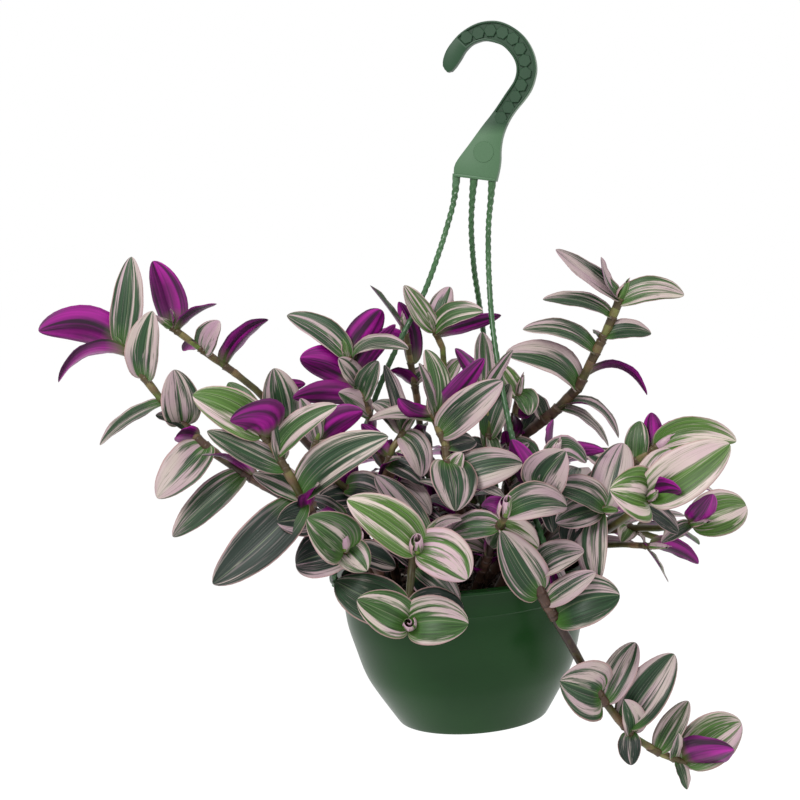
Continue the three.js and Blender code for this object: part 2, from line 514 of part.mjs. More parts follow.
// What leaves keep out of: the pot with its soil, the strands and every other stem.
const strandFoot = (bearing) => {
  const angle = THREE.MathUtils.degToRad(bearing);
  return [PEG_CIRCLE * Math.cos(angle), PEG_CIRCLE * Math.sin(angle)];
};
const STRANDS = [
  [-170, [[-21.2, -93, 5.4], [-22.6, -108, 5], [-25.4, -121, 2], [-33.6, -148, -2], [-44.8, -178, -6],
    [-62, -212, -10], [-79, -252, -14], [-93, -300, -17], [-102, -345, -18]]],
  [70, [[-8.9, -95, 2.2], [-10.3, -110, 2.5], [-11, -132, 6], [-9, -160, 14], [-6, -180, 22], [-1, -215, 38],
    [4, -260, 56], [6, -305, 70], [7, -340, 78]]],
  [-50, [[3.8, -96, -1.2], [2.7, -110, -1.5], [1, -132, -2], [1.4, -165, -8], [4.5, -205, -22], [13, -256, -42],
    [21, -290, -56], [31, -325, -66], [40, -352, -69]]],
];
const strandLines = STRANDS.map(([bearing, route]) => {
  const [right, back] = strandFoot(bearing);
  return smooth([...route.map(([x, z, depth]) => seen(x, z, depth)), inPot(right, back, POT_HEIGHT + 8),
    inPot(right, back, POT_HEIGHT + FIT_GAP)]);
});
const potShell = bar([inPot(0, 0, -1), ...POT_OUTSIDE.map(([, h]) => inPot(0, 0, h)),
  inPot(0, 0, POT_HEIGHT - 4), inPot(0, 0, POT_HEIGHT + 1)],
[53, ...POT_OUTSIDE.map(([r]) => r + 1), LEDGE_RADIUS + 1, LEDGE_RADIUS + 1], 24);
const fixed = [boxed(potShell), ...strandLines.map((line) =>
  boxed(bar(line, line.map(() => STRAND_RADIUS + 1), STEM_SIDES)))];
for (const shoot of shoots) {
  const { points, radii } = shoot.stem;
  shoot.keepOut = boxed(bar(points.slice(1), radii.slice(1).map((r) => r + KEEP_CLEAR), STEM_SIDES));
}

function bent(leaf, swing, shift, twist, shrink) {
  const tip = leaf.tip.clone().addScaledVector(leaf.swing, swing).addScaledVector(leaf.shift, shift);
  tip.sub(leaf.root).multiplyScalar(shrink).add(leaf.root);
  const chord = tip.clone().sub(leaf.root);
  let face;
  let side;
  if (leaf.face) {
    const ahead = chord.clone().normalize();
    face = leaf.face.clone().addScaledVector(ahead, -leaf.face.dot(ahead)).normalize()
      .applyAxisAngle(ahead, THREE.MathUtils.degToRad(twist));
    side = ahead.cross(face);
  } else {
    [face, side] = facing(chord, leaf.turn + twist);
  }
  return { ...leaf, tip, face, side, width: leaf.width * shrink, arch: leaf.arch * shrink, bow: leaf.bow * shrink };
}

// Leaves are set in order, and each takes the first way of bending that clears everything before it.
const placed = [];
for (const shoot of shoots) {
  shoot.blades = [];
  const others = shoots.filter((other) => other !== shoot).map((other) => other.keepOut);
  for (const leaf of shoot.leaves) {
    search: for (const shrink of SHRINKS) {
      for (const twist of TWISTS) {
        for (const shift of SHIFTS) {
          for (const swing of SWINGS) {
            const tried = bent(leaf, swing, shift, twist, shrink);
            const whole = boxed(blade(tried, BLADE_THICK + 2 * KEEP_CLEAR, KEEP_CLEAR, 0));
            if ([...fixed, ...others].some((other) => cross(whole, other))) continue;
            if (placed.some((p) => p.shoot !== shoot && cross(whole, p.whole))) continue;
            const outer = boxed(blade(tried, BLADE_THICK + 2 * KEEP_CLEAR, KEEP_CLEAR, FREE_FROM));
            if (placed.some((p) => p.shoot === shoot && cross(outer, p.outer))) continue;
            placed.push({ shoot, whole, outer });
            shoot.blades.push(tried);
            break search;
          }
        }
      }
    }
  }
}

function toSolid({ vertices, faces }) {
  const flat = vertices.flatMap((p) => [p.x, p.y, p.z]);
  return new wasm.Manifold(new wasm.Mesh({
    numProp: 3, vertProperties: new Float32Array(flat), triVerts: new Uint32Array(faces.flat()),
  }));
}

function geometryToSolid(geometry) {
  geometry.deleteAttribute("normal");
  geometry.deleteAttribute("uv");
  const merged = mergeVertices(geometry, 1e-4);
  const kept = [];
  for (let i = 0; i < merged.index.count; i += 3) {
    const [a, b, c] = [0, 1, 2].map((k) => merged.index.getX(i + k));
    if (a !== b && b !== c && c !== a) kept.push(a, b, c);
  }
  return new wasm.Manifold(new wasm.Mesh({
    numProp: 3, vertProperties: new Float32Array(merged.attributes.position.array), triVerts: new Uint32Array(kept),
  }));
}

function toMesh(name, solid, material) {
  const { numProp, vertProperties, triVerts } = solid.getMesh();
  const positions = new Float32Array(vertProperties.length / numProp * 3);
  for (let i = 0; i < positions.length / 3; i++) {
    positions.set(vertProperties.subarray(i * numProp, i * numProp + 3), i * 3);
  }
  const geometry = new THREE.BufferGeometry();
  geometry.setAttribute("position", new THREE.BufferAttribute(positions, 3));
  geometry.setIndex(new THREE.BufferAttribute(new Uint32Array(triVerts), 1));
  geometry.computeVertexNormals();
  const mesh = new THREE.Mesh(geometry, material);
  mesh.name = name;
  return mesh;
}

// A lathed solid about the pot's axis, from [radius, height] pairs.
function turned(profile, sides) {
  const geometry = new THREE.LatheGeometry(profile.map(([r, h]) => new THREE.Vector2(r, h)), sides);
  geometry.rotateX(Math.PI / 2);
  geometry.applyMatrix4(potMatrix);
  return geometryToSolid(geometry);
}

function peg(right, back, low, high, radius, sides) {
  const geometry = new THREE.CylinderGeometry(radius, radius, high - low, sides);
  geometry.rotateX(Math.PI / 2);
  geometry.translate(right, back, (low + high) / 2);
  geometry.applyMatrix4(potMatrix);
  return geometryToSolid(geometry);
}

const part = new THREE.Group();
const potGreen = new THREE.MeshStandardMaterial({ color: 0x35512f, roughness: 0.45, metalness: 0 });
const hangerGreen = new THREE.MeshStandardMaterial({ color: 0x4f7d55, roughness: 0.45, metalness: 0 });
const darkSoil = new THREE.MeshStandardMaterial({ color: 0x241a14, roughness: 1, metalness: 0 });
const leafGreen = new THREE.MeshStandardMaterial({ color: 0x4f6f4a, roughness: 0.5, metalness: 0 });

// Pot.
const ledgeLow = POT_HEIGHT - LEDGE_THICK;
let pot = turned([[0, 0], ...POT_OUTSIDE, [LEDGE_RADIUS, ledgeLow], [LEDGE_RADIUS, POT_HEIGHT],
  ...POT_INSIDE.toReversed(), [0, POT_WALL]], POT_SIDES);
for (const [bearing] of STRANDS) {
  pot = pot.subtract(peg(...strandFoot(bearing), ledgeLow - 1, POT_HEIGHT + 1, PEG_HOLE_RADIUS, 8));
}
for (let k = 0; k < DRAIN_COUNT; k++) {
  const angle = 2 * Math.PI * (k + 0.5) / DRAIN_COUNT;
  pot = pot.subtract(peg(DRAIN_CIRCLE * Math.cos(angle), DRAIN_CIRCLE * Math.sin(angle), -1, POT_WALL + 1,
    DRAIN_RADIUS, 8));
}
part.add(toMesh("pot", pot, potGreen));

// Soil, a plug that follows the inside of the pot, with a plain hole for each stem.
const soilWall = POT_INSIDE.filter(([, h]) => h < SOIL_HEIGHT).map(([r, h]) => [r - 2 * FIT_GAP, h + FIT_GAP]);
let soil = turned([[0, POT_WALL + FIT_GAP], ...soilWall, [SOIL_RADIUS, SOIL_HEIGHT], [0, SOIL_HEIGHT]], POT_SIDES);
for (const { stem } of shoots) {
  const radius = (stem.foot + FIT_GAP + 0.1) / Math.cos(Math.PI / HOLE_SIDES);
  soil = soil.subtract(peg(...stem.root, SOIL_HEIGHT - HOLE_DEPTH, SOIL_HEIGHT + 1, radius, HOLE_SIDES));
}
part.add(toMesh("soil", soil, darkSoil));

// Hanger: the hook and plate are cut from one outline, the hexagonal pads stand on its front.
const HOOK_OUTER = [[-28, -21.4], [-31, -17.5], [-30.8, -12], [-28.5, -6], [-25, -1], [-19.5, 5], [-12, 10],
  [-5, 12.8], [2.5, 13.8], [10, 13], [18, 9.5], [25, 4], [30, -2.5], [33.5, -10], [35.2, -18], [34.8, -25],
  [32, -34], [27.5, -41], [20, -50], [15, -58], [11.5, -67], [10, -76], [9.8, -84], [8.8, -91], [7, -98.5]];
const HOOK_INNER = [[-22.8, -94.6], [-23.3, -90], [-22, -85.5], [-19, -81], [-12, -72], [-3, -60], [5, -50],
  [14, -37], [19.5, -29], [21.5, -22], [20.5, -15], [16, -8], [10, -3], [0, 0], [-6, -0.8], [-11, -3],
  [-15.5, -7.5], [-18.5, -12.5], [-22, -17.5], [-25, -20.8]];
const PAD_LINE = [[-14, 2.6], [3.1, 6.9], [19.5, 0.2], [28.1, -20], [20.5, -39.6], [10.4, -54]];
const turn = new THREE.Matrix4().makeRotationZ(HOOK_TURN);
const upright = ([x, z]) => {
  const p = seen(x, z, 0);
  return new THREE.Vector2(p.x, p.z);
};
const outline = new THREE.Shape([...HOOK_OUTER, ...HOOK_INNER].map(upright));
const plate = new THREE.ExtrudeGeometry(outline, { depth: HOOK_THICK, bevelEnabled: false });
plate.translate(0, 0, -HOOK_THICK / 2);
plate.rotateX(Math.PI / 2);
plate.applyMatrix4(turn);
let hanger = geometryToSolid(plate);
const padCurve = new THREE.SplineCurve(PAD_LINE.map(upright));
for (const { x, y: z } of padCurve.getSpacedPoints(PAD_COUNT - 1)) {
  const pad = new THREE.CylinderGeometry(PAD_RADIUS, PAD_RADIUS, 2, 6);
  pad.translate(x, -HOOK_THICK / 2 + 1 - PAD_PROUD, z);
  pad.applyMatrix4(turn);
  hanger = hanger.add(geometryToSolid(pad));
}
STRANDS.forEach(([bearing], s) => {
  const [right, back] = strandFoot(bearing);
  const line = strandLines[s];
  const radii = line.map((p, i) => (i < 4 ? SOCKET_RADIUS + (STRAND_RADIUS - SOCKET_RADIUS) * i / 4 : STRAND_RADIUS));
  const under = ledgeLow - FIT_GAP;
  const points = [...line, inPot(right, back, POT_HEIGHT + FIT_GAP - 0.01), inPot(right, back, under),
    inPot(right, back, under - 0.01), inPot(right, back, under - BUTTON_THICK)];
  hanger = hanger.add(toSolid(bar(points, [...radii, PEG_RADIUS, PEG_RADIUS, BUTTON_RADIUS, BUTTON_RADIUS],
    STRAND_SIDES)));
});
part.add(toMesh("hanger", hanger, hangerGreen));

// Leafy stems.
for (const { name, stem, blades } of shoots) {
  let solid = toSolid(bar(stem.points, stem.radii, STEM_SIDES));
  for (const leaf of blades) solid = solid.add(toSolid(blade(leaf, BLADE_THICK, 0, 0)));
  part.add(toMesh(name, solid, leafGreen));
}

export default part;
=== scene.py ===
import itertools
import math
import bmesh
import bpy
from mathutils import Matrix, Vector, noise
from mathutils.bvhtree import BVHTree


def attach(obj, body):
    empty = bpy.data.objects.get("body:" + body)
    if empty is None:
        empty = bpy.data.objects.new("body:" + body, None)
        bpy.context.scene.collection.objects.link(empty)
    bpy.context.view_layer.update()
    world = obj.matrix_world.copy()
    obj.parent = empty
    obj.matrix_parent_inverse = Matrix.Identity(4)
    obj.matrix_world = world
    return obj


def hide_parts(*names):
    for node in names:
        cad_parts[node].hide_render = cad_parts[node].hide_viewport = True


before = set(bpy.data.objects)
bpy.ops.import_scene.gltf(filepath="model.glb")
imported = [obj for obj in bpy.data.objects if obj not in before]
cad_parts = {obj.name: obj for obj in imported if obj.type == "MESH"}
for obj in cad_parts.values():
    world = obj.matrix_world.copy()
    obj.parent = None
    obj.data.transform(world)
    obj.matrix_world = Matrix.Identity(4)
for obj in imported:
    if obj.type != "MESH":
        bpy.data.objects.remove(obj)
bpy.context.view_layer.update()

# Viewpoint: the plant is photographed from 1.2 m away and a little above its middle. The places of hook,
# stems and leaves below are given in millimetres as this view shows them, x and z from the hook's inside
# top, each with a depth of its own. SEEN_CENTRE is what lies in the middle of the view.
SEEN_CENTRE = (-60.9, -251.3)
VIEW_CENTRE = Vector((-59.7, 0, -247.4))
VIEW_DISTANCE = 1200
VIEW_RISE = math.radians(5.6)
VIEW_HALF_WIDTH = 280
SIGHT = Vector((0, math.cos(VIEW_RISE), -math.sin(VIEW_RISE)))
SIGHT_UP = Vector((0, math.sin(VIEW_RISE), math.cos(VIEW_RISE)))
EYE = VIEW_CENTRE - VIEW_DISTANCE * SIGHT
MM = 0.001


# Puts an object with this data in the scene.
def new_object(name, data):
    made = bpy.data.objects.new(name, data)
    bpy.context.scene.collection.objects.link(made)
    return made


camera_data = bpy.data.cameras.new("camera")
camera_data.sensor_fit = "HORIZONTAL"
camera_data.angle = 2 * math.atan(VIEW_HALF_WIDTH / VIEW_DISTANCE)
camera_data.clip_start = 0.05
camera_data.clip_end = 20
camera = new_object("camera", camera_data)
camera.location = EYE * MM
camera.rotation_euler = SIGHT.to_track_quat("-Z", "Y").to_euler()
bpy.context.scene.camera = camera


# The place that the view shows at (x, z), at the given depth.
def seen(x, z, depth):
    ray = VIEW_DISTANCE * SIGHT + (z - SEEN_CENTRE[1]) * SIGHT_UP
    ray.x += x - SEEN_CENTRE[0]
    return EYE + ray * ((depth - EYE.y) / ray.y)


# The (x, z) at which the view shows a place.
def as_seen(point):
    ray = point - EYE
    scale = VIEW_DISTANCE / ray.dot(SIGHT)
    return SEEN_CENTRE[0] + ray.x * scale, SEEN_CENTRE[1] + ray.dot(SIGHT_UP) * scale


# Pot: the hanging basket, injection moulded in dark green polypropylene about 1.8 mm thick. A crease runs
# round under the rim band, a ledge round the top takes the hanger's pegs, and the base has drain holes.
POT_BASE = Vector((-7.5, 0, -471.5))
POT_TILT = math.radians(-4.55)
POT_HEIGHT = 107
POT_WALL = 1.8
BAND_HEIGHT = 88
LEDGE_RADIUS = 94
LEDGE_THICK = 2.4
POT_SIDES = 128
BASE_RADIUS = 50.5
POT_OUTSIDE = [(52, 0), (54.8, 3.5), (68.6, 26), (74.6, 38.5), (79.5, 55.7), (83.5, 71.6),
               (85.2, BAND_HEIGHT - 0.4)]
POT_BAND = [(85.4, BAND_HEIGHT), (86.5, BAND_HEIGHT + 0.9), (87, POT_HEIGHT - LEDGE_THICK - 1.2),
            (87.6, POT_HEIGHT - LEDGE_THICK), (LEDGE_RADIUS - 0.5, POT_HEIGHT - LEDGE_THICK),
            (LEDGE_RADIUS, POT_HEIGHT - LEDGE_THICK + 0.5), (LEDGE_RADIUS, POT_HEIGHT - 0.4),
            (LEDGE_RADIUS - 0.4, POT_HEIGHT), (LEDGE_RADIUS - 1.6, POT_HEIGHT - 0.35),
            (86.4, POT_HEIGHT - 0.35), (85.6, POT_HEIGHT + 0.1), (85.2, POT_HEIGHT - 0.2)]
POT_INSIDE = [(83.3, BAND_HEIGHT), (81.7, 71.6), (72.8, 38.5), (66.4, 26), (51.5, POT_WALL), (0, POT_WALL)]
DRAIN_COUNT = 8
DRAIN_RADIUS = 4
DRAIN_CIRCLE = 31
PEG_CIRCLE = 90.4
PEG_HOLE_RADIUS = 2
HOLE_SIDES = 24
STRAND_BEARINGS = (-170, 70, -50)

pot_matrix = Matrix.Translation(POT_BASE) @ Matrix.Rotation(POT_TILT, 4, "Y")


# A place in the pot, which hangs a little out of true.
def in_pot(right, back, height):
    return pot_matrix @ Vector((right, back, height))


# An sRGB hex value as a linear colour.
def linear(hexes):
    channels = [int(hexes[i:i + 2], 16) / 255 for i in (1, 3, 5)]
    return [c / 12.92 if c <= 0.04045 else ((c + 0.055) / 1.055) ** 2.4 for c in channels] + [1]


# Gives a node its inputs: values, sockets, or other nodes, of which the first output in use is meant.
def connect(node, inputs):
    for key, value in inputs.items():
        if isinstance(value, bpy.types.Node):
            value = next(socket for socket in value.outputs if socket.enabled)
        if isinstance(value, bpy.types.NodeSocket):
            node.id_data.links.new(value, node.inputs[key])
        else:
            node.inputs[key].default_value = value


# Adds a shader node with its settings and inputs. Stops are the places and colours of a colour ramp.
def add(tree, kind, inputs=None, stops=None, **settings):
    made = tree.nodes.new("ShaderNode" + kind)
    for key, value in settings.items():
        setattr(made, key, value)
    connect(made, inputs or {})
    if stops:
        ramp = made.color_ramp.elements
        ramp.remove(ramp[1])
        ramp[0].position = stops[0][0]
        ramp[0].color = linear(stops[0][1])
        for at, colour in stops[1:]:
            ramp.new(at).color = linear(colour)
    return made


def new_material(name):
    material = bpy.data.materials.new(name)
    material.use_nodes = True
    tree = material.node_tree
    return material, tree, tree.nodes["Principled BSDF"]


def to_mesh(name, drawn):
    mesh = bpy.data.meshes.new(name)
    drawn.to_mesh(mesh)
    drawn.free()
    return mesh


# Turns a shape drawn in millimetres into a finished piece in place of its solid.
def finish_piece(name, drawn, materials, node):
    mesh = to_mesh(name, drawn)
    mesh.transform(Matrix.Scale(MM, 4))
    for material in materials:
        mesh.materials.append(material)
    mesh.shade_smooth()
    piece = new_object(name, mesh)
    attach(piece, "root")
    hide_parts(node)
    return piece


# A smooth line through the points, each span in the given number of steps, or in one or two by its length.
LONG_SPAN = 32


def smooth(points, steps=None):
    padded = [2 * points[0] - points[1], *points, 2 * points[-1] - points[-2]]
    line = []
    for a, b, c, d in zip(padded, padded[1:], padded[2:], padded[3:]):
        count = steps or (2 if (c - b).length > LONG_SPAN else 1)
        for k in range(count):
            t = k / count
            line.append(0.5 * (2 * b + (c - a) * t + (2 * a - 5 * b + 4 * c - d) * t * t
                               + (3 * b - 3 * c + d - a) * t ** 3))
    return line + [points[-1].copy()]


def on_circle(radius, bearing):
    return radius * math.cos(math.radians(bearing)), radius * math.sin(math.radians(bearing))


# A body turned round the pot's axis from its outline, radius and height.
def turned(outline, steps):
    mesh = bmesh.new()
    corners = [mesh.verts.new((r, 0, h)) for r, h in outline]
    edges = [mesh.edges.new(pair) for pair in zip(corners, corners[1:])]
    bmesh.ops.spin(mesh, geom=corners + edges, axis=(0, 0, 1), cent=(0, 0, 0), steps=steps,
                   angle=2 * math.pi, use_merge=True)
    bmesh.ops.remove_doubles(mesh, verts=mesh.verts, dist=0.01)
    bmesh.ops.recalc_face_normals(mesh, faces=mesh.faces)
    return mesh


outside = smooth([Vector((r, 0, h)) for r, h in POT_OUTSIDE], 5)
pot_mesh = turned([(0, 0), (BASE_RADIUS, 0)] + [(p.x, p.z) for p in outside[1:]] + POT_BAND + POT_INSIDE,
                  POT_SIDES)
bmesh.ops.transform(pot_mesh, matrix=pot_matrix, verts=pot_mesh.verts)

# Polypropylene coloured in the mass, moulded against a satin steel tool: a soft sheen with very slight flow
# marks.
plastic, tree, shader = new_material("satin_polypropylene")
where = add(tree, "TexCoord").outputs["Object"]
flow = add(tree, "TexNoise", {"Vector": where, "Scale": 14, "Detail": 3})
tint = add(tree, "ValToRGB", {"Fac": flow}, stops=[(0.3, "#0f2f11"), (0.72, "#163916")])
grain = add(tree, "TexNoise", {"Vector": where, "Scale": 900, "Detail": 2})
relief = add(tree, "Bump", {"Height": grain, "Strength": 0.12, "Distance": 0.0002})
rough = add(tree, "MapRange", {"Value": flow, "To Min": 0.26, "To Max": 0.36})
connect(shader, {"Base Color": tint, "Roughness": rough, "Normal": relief, "IOR": 1.49,
                 "Specular IOR Level": 0.15})


# A round pin along the pot's axis, which bores a hole.
def pin(mesh, right, back, low, high, radius):
    made = bmesh.ops.create_cone(mesh, cap_ends=True, segments=HOLE_SIDES, radius1=radius, radius2=radius,
                                 depth=high - low)["verts"]
    place = Matrix.Translation((right, back, (low + high) / 2))
    bmesh.ops.transform(mesh, matrix=pot_matrix @ place, verts=made)


drill_mesh = bmesh.new()
for bearing in STRAND_BEARINGS:
    pin(drill_mesh, *on_circle(PEG_CIRCLE, bearing), POT_HEIGHT - 6, POT_HEIGHT + 3, PEG_HOLE_RADIUS)
for k in range(DRAIN_COUNT):
    pin(drill_mesh, *on_circle(DRAIN_CIRCLE, 360 * (k + 0.5) / DRAIN_COUNT), -2, 5, DRAIN_RADIUS)
bmesh.ops.transform(drill_mesh, matrix=Matrix.Scale(MM, 4), verts=drill_mesh.verts)
drill = new_object("drill", to_mesh("drill", drill_mesh))
pot = finish_piece("basket_pot", pot_mesh, [plastic], "pot")
cut = pot.modifiers.new("holes", "BOOLEAN")
cut.object = drill
cut.operation = "DIFFERENCE"
cut.solver = "EXACT"
bpy.context.view_layer.update()
bored = bpy.data.meshes.new_from_object(pot.evaluated_get(bpy.context.evaluated_depsgraph_get()))
pot.modifiers.clear()
pot.data = bored
bored.set_sharp_from_angle(angle=math.radians(35))
bpy.data.objects.remove(drill)

# Soil: brown peat mix with crumbs of bark and a few white grains of perlite, filled by hand to 12 mm below
# the rim.
SOIL_HEIGHT = 95
SOIL_RADIUS = 83.6
SOIL_PROFILE = [(0, 2.3), (50.9, 2.3), (65.8, 26.3), (72.2, 38.8), (81.1, 71.9),
                (SOIL_RADIUS, SOIL_HEIGHT - 1.5)]
SOIL_SIDES = 96
SOIL_RINGS = 24
SOIL_BUMPS = 2.2
SOIL_BUMP_SCALE = 0.07
HOLE_DEPTH = 24
CRUMBS = 420
PERLITE = 90
CRUMB_REACH = 81
# What is left to chance is given as the least and what may be added.
CRUMB_SIZE = (0.8, 1.6)
CRUMB_FLATNESS = (0.5, 0.4)
CRUMB_SEED = 77

top = [(SOIL_RADIUS * (1 - k / SOIL_RINGS), SOIL_HEIGHT) for k in range(SOIL_RINGS + 1)]
soil_mesh = turned(SOIL_PROFILE + top, SOIL_SIDES)
for vertex in soil_mesh.verts:
    if vertex.co.z > SOIL_HEIGHT - 0.5:
        vertex.co.z += SOIL_BUMPS * noise.fractal(vertex.co * SOIL_BUMP_SCALE, 1, 2, 4) - 1


# A small generator of draws between 0 and 1, the same every time.
def draws(seed):
    state = seed
    while True:
        state = state * 16807 % 2147483647
        yield state / 2147483647


def chance(draw, least, more):
    return least + more * next(draw)


scatter = draws(CRUMB_SEED)
for k in range(CRUMBS + PERLITE):
    size = chance(scatter, *CRUMB_SIZE)
    far = CRUMB_REACH * math.sqrt(next(scatter))
    right, back = on_circle(far, 360 * next(scatter))
    made = bmesh.ops.create_icosphere(soil_mesh, subdivisions=1, radius=size)["verts"]
    flat = chance(scatter, *CRUMB_FLATNESS)
    turn = Matrix.Rotation(6.28 * next(scatter), 4, "Z") @ Matrix.Rotation(3 * next(scatter), 4, "X")
    place = Matrix.Translation((right, back, SOIL_HEIGHT - 0.4 + 0.8 * next(scatter)))
    bmesh.ops.transform(soil_mesh, matrix=place @ turn @ Matrix.Diagonal((1.3, 0.8, flat, 1)), verts=made)
    for face in {f for v in made for f in v.link_faces}:
        face.material_index = 1 if k >= CRUMBS else 0
bmesh.ops.transform(soil_mesh, matrix=pot_matrix, verts=soil_mesh.verts)

# Moist peat: nearly black brown and quite matt, in crumbs 1 to 3 mm across.
peat, tree, shader = new_material("moist_peat")
where = add(tree, "TexCoord").outputs["Object"]
crumb = add(tree, "TexVoronoi", {"Vector": where, "Scale": 450})
blotch = add(tree, "TexNoise", {"Vector": where, "Scale": 160, "Detail": 5})
tint = add(tree, "ValToRGB", {"Fac": blotch}, stops=[(0.35, "#17100b"), (0.7, "#4a3524")])
relief = add(tree, "Bump", {"Height": crumb, "Strength": 0.9, "Distance": 0.001})
connect(shader, {"Base Color": tint, "Normal": relief, "Roughness": 0.95})
# Perlite: puffed volcanic glass, off-white and dull.
perlite, tree, shader = new_material("perlite")
where = add(tree, "TexCoord").outputs["Object"]
pits = add(tree, "TexNoise", {"Vector": where, "Scale": 1200, "Detail": 3})
tint = add(tree, "ValToRGB", {"Fac": pits}, stops=[(0, "#a49c8e"), (1, "#e6e1d6")])
connect(shader, {"Base Color": tint, "Roughness": 0.9})
finish_piece("potting_mix", soil_mesh, [peat, perlite], "soil")

# Hanger: hook, plate and three twisted strands, moulded in one piece of lighter green polypropylene. Each
# strand ends in a peg that is pressed through the pot's ledge and held by a button beneath it.
HOOK_THICK = 7
HOOK_TURN = math.radians(-15)
HOOK_OUTER = [(-28, -21.4), (-31, -17.5), (-30.8, -12), (-28.5, -6), (-25, -1), (-19.5, 5), (-12, 10),
              (-5, 12.8), (2.5, 13.8), (10, 13), (18, 9.5), (25, 4), (30, -2.5), (33.5, -10), (35.2, -18),
              (34.8, -25), (32, -34), (27.5, -41), (20, -50), (15, -58), (11.5, -67), (10, -76), (9.8, -84),
              (8.8, -91), (7, -98.5)]
HOOK_INNER = [(-22.8, -94.6), (-23.3, -90), (-22, -85.5), (-19, -81), (-12, -72), (-3, -60), (5, -50),
              (14, -37), (19.5, -29), (21.5, -22), (20.5, -15), (16, -8), (10, -3), (0, 0), (-6, -0.8),
              (-11, -3), (-15.5, -7.5), (-18.5, -12.5), (-22, -17.5), (-25, -20.8)]
PAD_LINE = [(-14, 2.6), (3.1, 6.9), (19.5, 0.2), (28.1, -20), (20.5, -39.6), (10.4, -54)]
PAD_COUNT = 12
PAD_RADIUS = 4.6
PAD_HEIGHT = 2.4
BOSS_PLACE = (-1.7, -77.8)
BOSS_RADIUS = 7.4
BOSS_HEIGHT = 0.8
STRAND_RADIUS = 2
SOCKET_RADIUS = 2.7
PEG_RADIUS = 1.5
BUTTON_RADIUS = 2.9
BUTTON_THICK = 2.2
FIT_GAP = 0.3
TWIST_PITCH = 16
TWIST_DEPTH = 0.36
STRAND_ROUTES = [
    [(-21.2, -93, 5.4), (-22.6, -108, 5), (-25.4, -121, 2), (-33.6, -148, -2), (-44.8, -178, -6),
     (-62, -212, -10), (-79, -252, -14), (-93, -300, -17), (-102, -345, -18)],
    [(-8.9, -95, 2.2), (-10.3, -110, 2.5), (-11, -132, 6), (-9, -160, 14), (-6, -180, 22), (-1, -215, 38),
     (4, -260, 56), (6, -305, 70), (7, -340, 78)],
    [(3.8, -96, -1.2), (2.7, -110, -1.5), (1, -132, -2), (1.4, -165, -8), (4.5, -205, -22), (13, -256, -42),
     (21, -290, -56), (31, -325, -66), (40, -352, -69)],
]


# The way a line runs at its point i.
def way_at(line, i):
    return (line[min(i + 1, len(line) - 1)] - line[max(i - 1, 0)]).normalized()


def edges_of(points):
    return list({e for v in points for e in v.link_edges})


# A round bar: one ring of points carried along a line, each next ring extruded from the last. With lobes,
# it is twisted like a cord of that many yarns, once round in each pitch.
def draw_bar(mesh, line, radii, sides, lobes=0, pitch=0):
    ring = bmesh.ops.create_circle(mesh, cap_ends=True, segments=sides, radius=1)["verts"]
    ring.sort(key=lambda v: math.atan2(v.co.y, v.co.x) % (2 * math.pi))
    edges = edges_of(ring)
    side = Vector((1, 0, 0))
    done = 0
    for i, point in enumerate(line):
        ahead = way_at(line, i)
        side = (side - side.dot(ahead) * ahead).normalized()
        across = ahead.cross(side)
        if i:
            made = bmesh.ops.extrude_edge_only(mesh, edges=edges)["geom"]
            after = {}
            for v in (g for g in made if isinstance(g, bmesh.types.BMVert)):
                after[next(e.other_vert(v) for e in v.link_edges if e.other_vert(v) in ring)] = v
            ring = [after[v] for v in ring]
            edges = [g for g in made if isinstance(g, bmesh.types.BMEdge)
                     and all(v in after.values() for v in g.verts)]
            done += (point - line[i - 1]).length
        for k, v in enumerate(ring):
            angle = 2 * math.pi * k / sides
            r = radii[i]
            if lobes:
                deep = TWIST_DEPTH * min(1, done / pitch)
                r *= 1 - deep * (0.5 - 0.5 * math.cos(lobes * (angle - 2 * math.pi * done / pitch)))
            v.co = point + r * (math.cos(angle) * side + math.sin(angle) * across)
    bmesh.ops.contextual_create(mesh, geom=ring)


# Points at even steps along a line, the same number for any line.
def even(line, count):
    lengths = [0]
    for p, q in zip(line, line[1:]):
        lengths.append(lengths[-1] + (q - p).length)
    spread = []
    for k in range(count):
        far = lengths[-1] * k / (count - 1)
        i = min(max(n for n, length in enumerate(lengths) if length <= far + 1e-6), len(line) - 2)
        spread.append(line[i].lerp(line[i + 1], (far - lengths[i]) / (lengths[i + 1] - lengths[i])))
    return spread


# The hook's front is a strip of faces from its tip to the plate. Along the arm it is sunk to a channel,
# down to the neck, the points of the two outlines where the arm becomes the plate.
ARM_STATIONS = 56
PLATE_STATIONS = 18
NECK_OUTER = 19
NECK_INNER = 13
OUTLINE_STEPS = 6
CHANNEL = (10, 55)
CHANNEL_RIM = 1.5
CHANNEL_DEPTH = 1.3
forward = Vector((0, -HOOK_THICK / 2, 0))


def stations(outline, neck):
    line = smooth([seen(x, z, 0) + forward for x, z in outline], OUTLINE_STEPS)
    split = neck * OUTLINE_STEPS
    return even(line[:split + 1], ARM_STATIONS) + even(line[split:], PLATE_STATIONS)[1:]


# Extrudes faces, moves the new ones, and keeps the old ones if told to.
def thicken(mesh, faces, move, keep):
    made = bmesh.ops.extrude_face_region(mesh, geom=faces, use_keep_orig=keep)["geom"]
    bmesh.ops.translate(mesh, vec=move, verts=[g for g in made if isinstance(g, bmesh.types.BMVert)])


def bevel(mesh, edges, offset, segments, clamp=False):
    bmesh.ops.bevel(mesh, geom=edges, offset=offset, offset_type="OFFSET", segments=segments, profile=0.5,
                    affect="EDGES", clamp_overlap=clamp, material=-1)


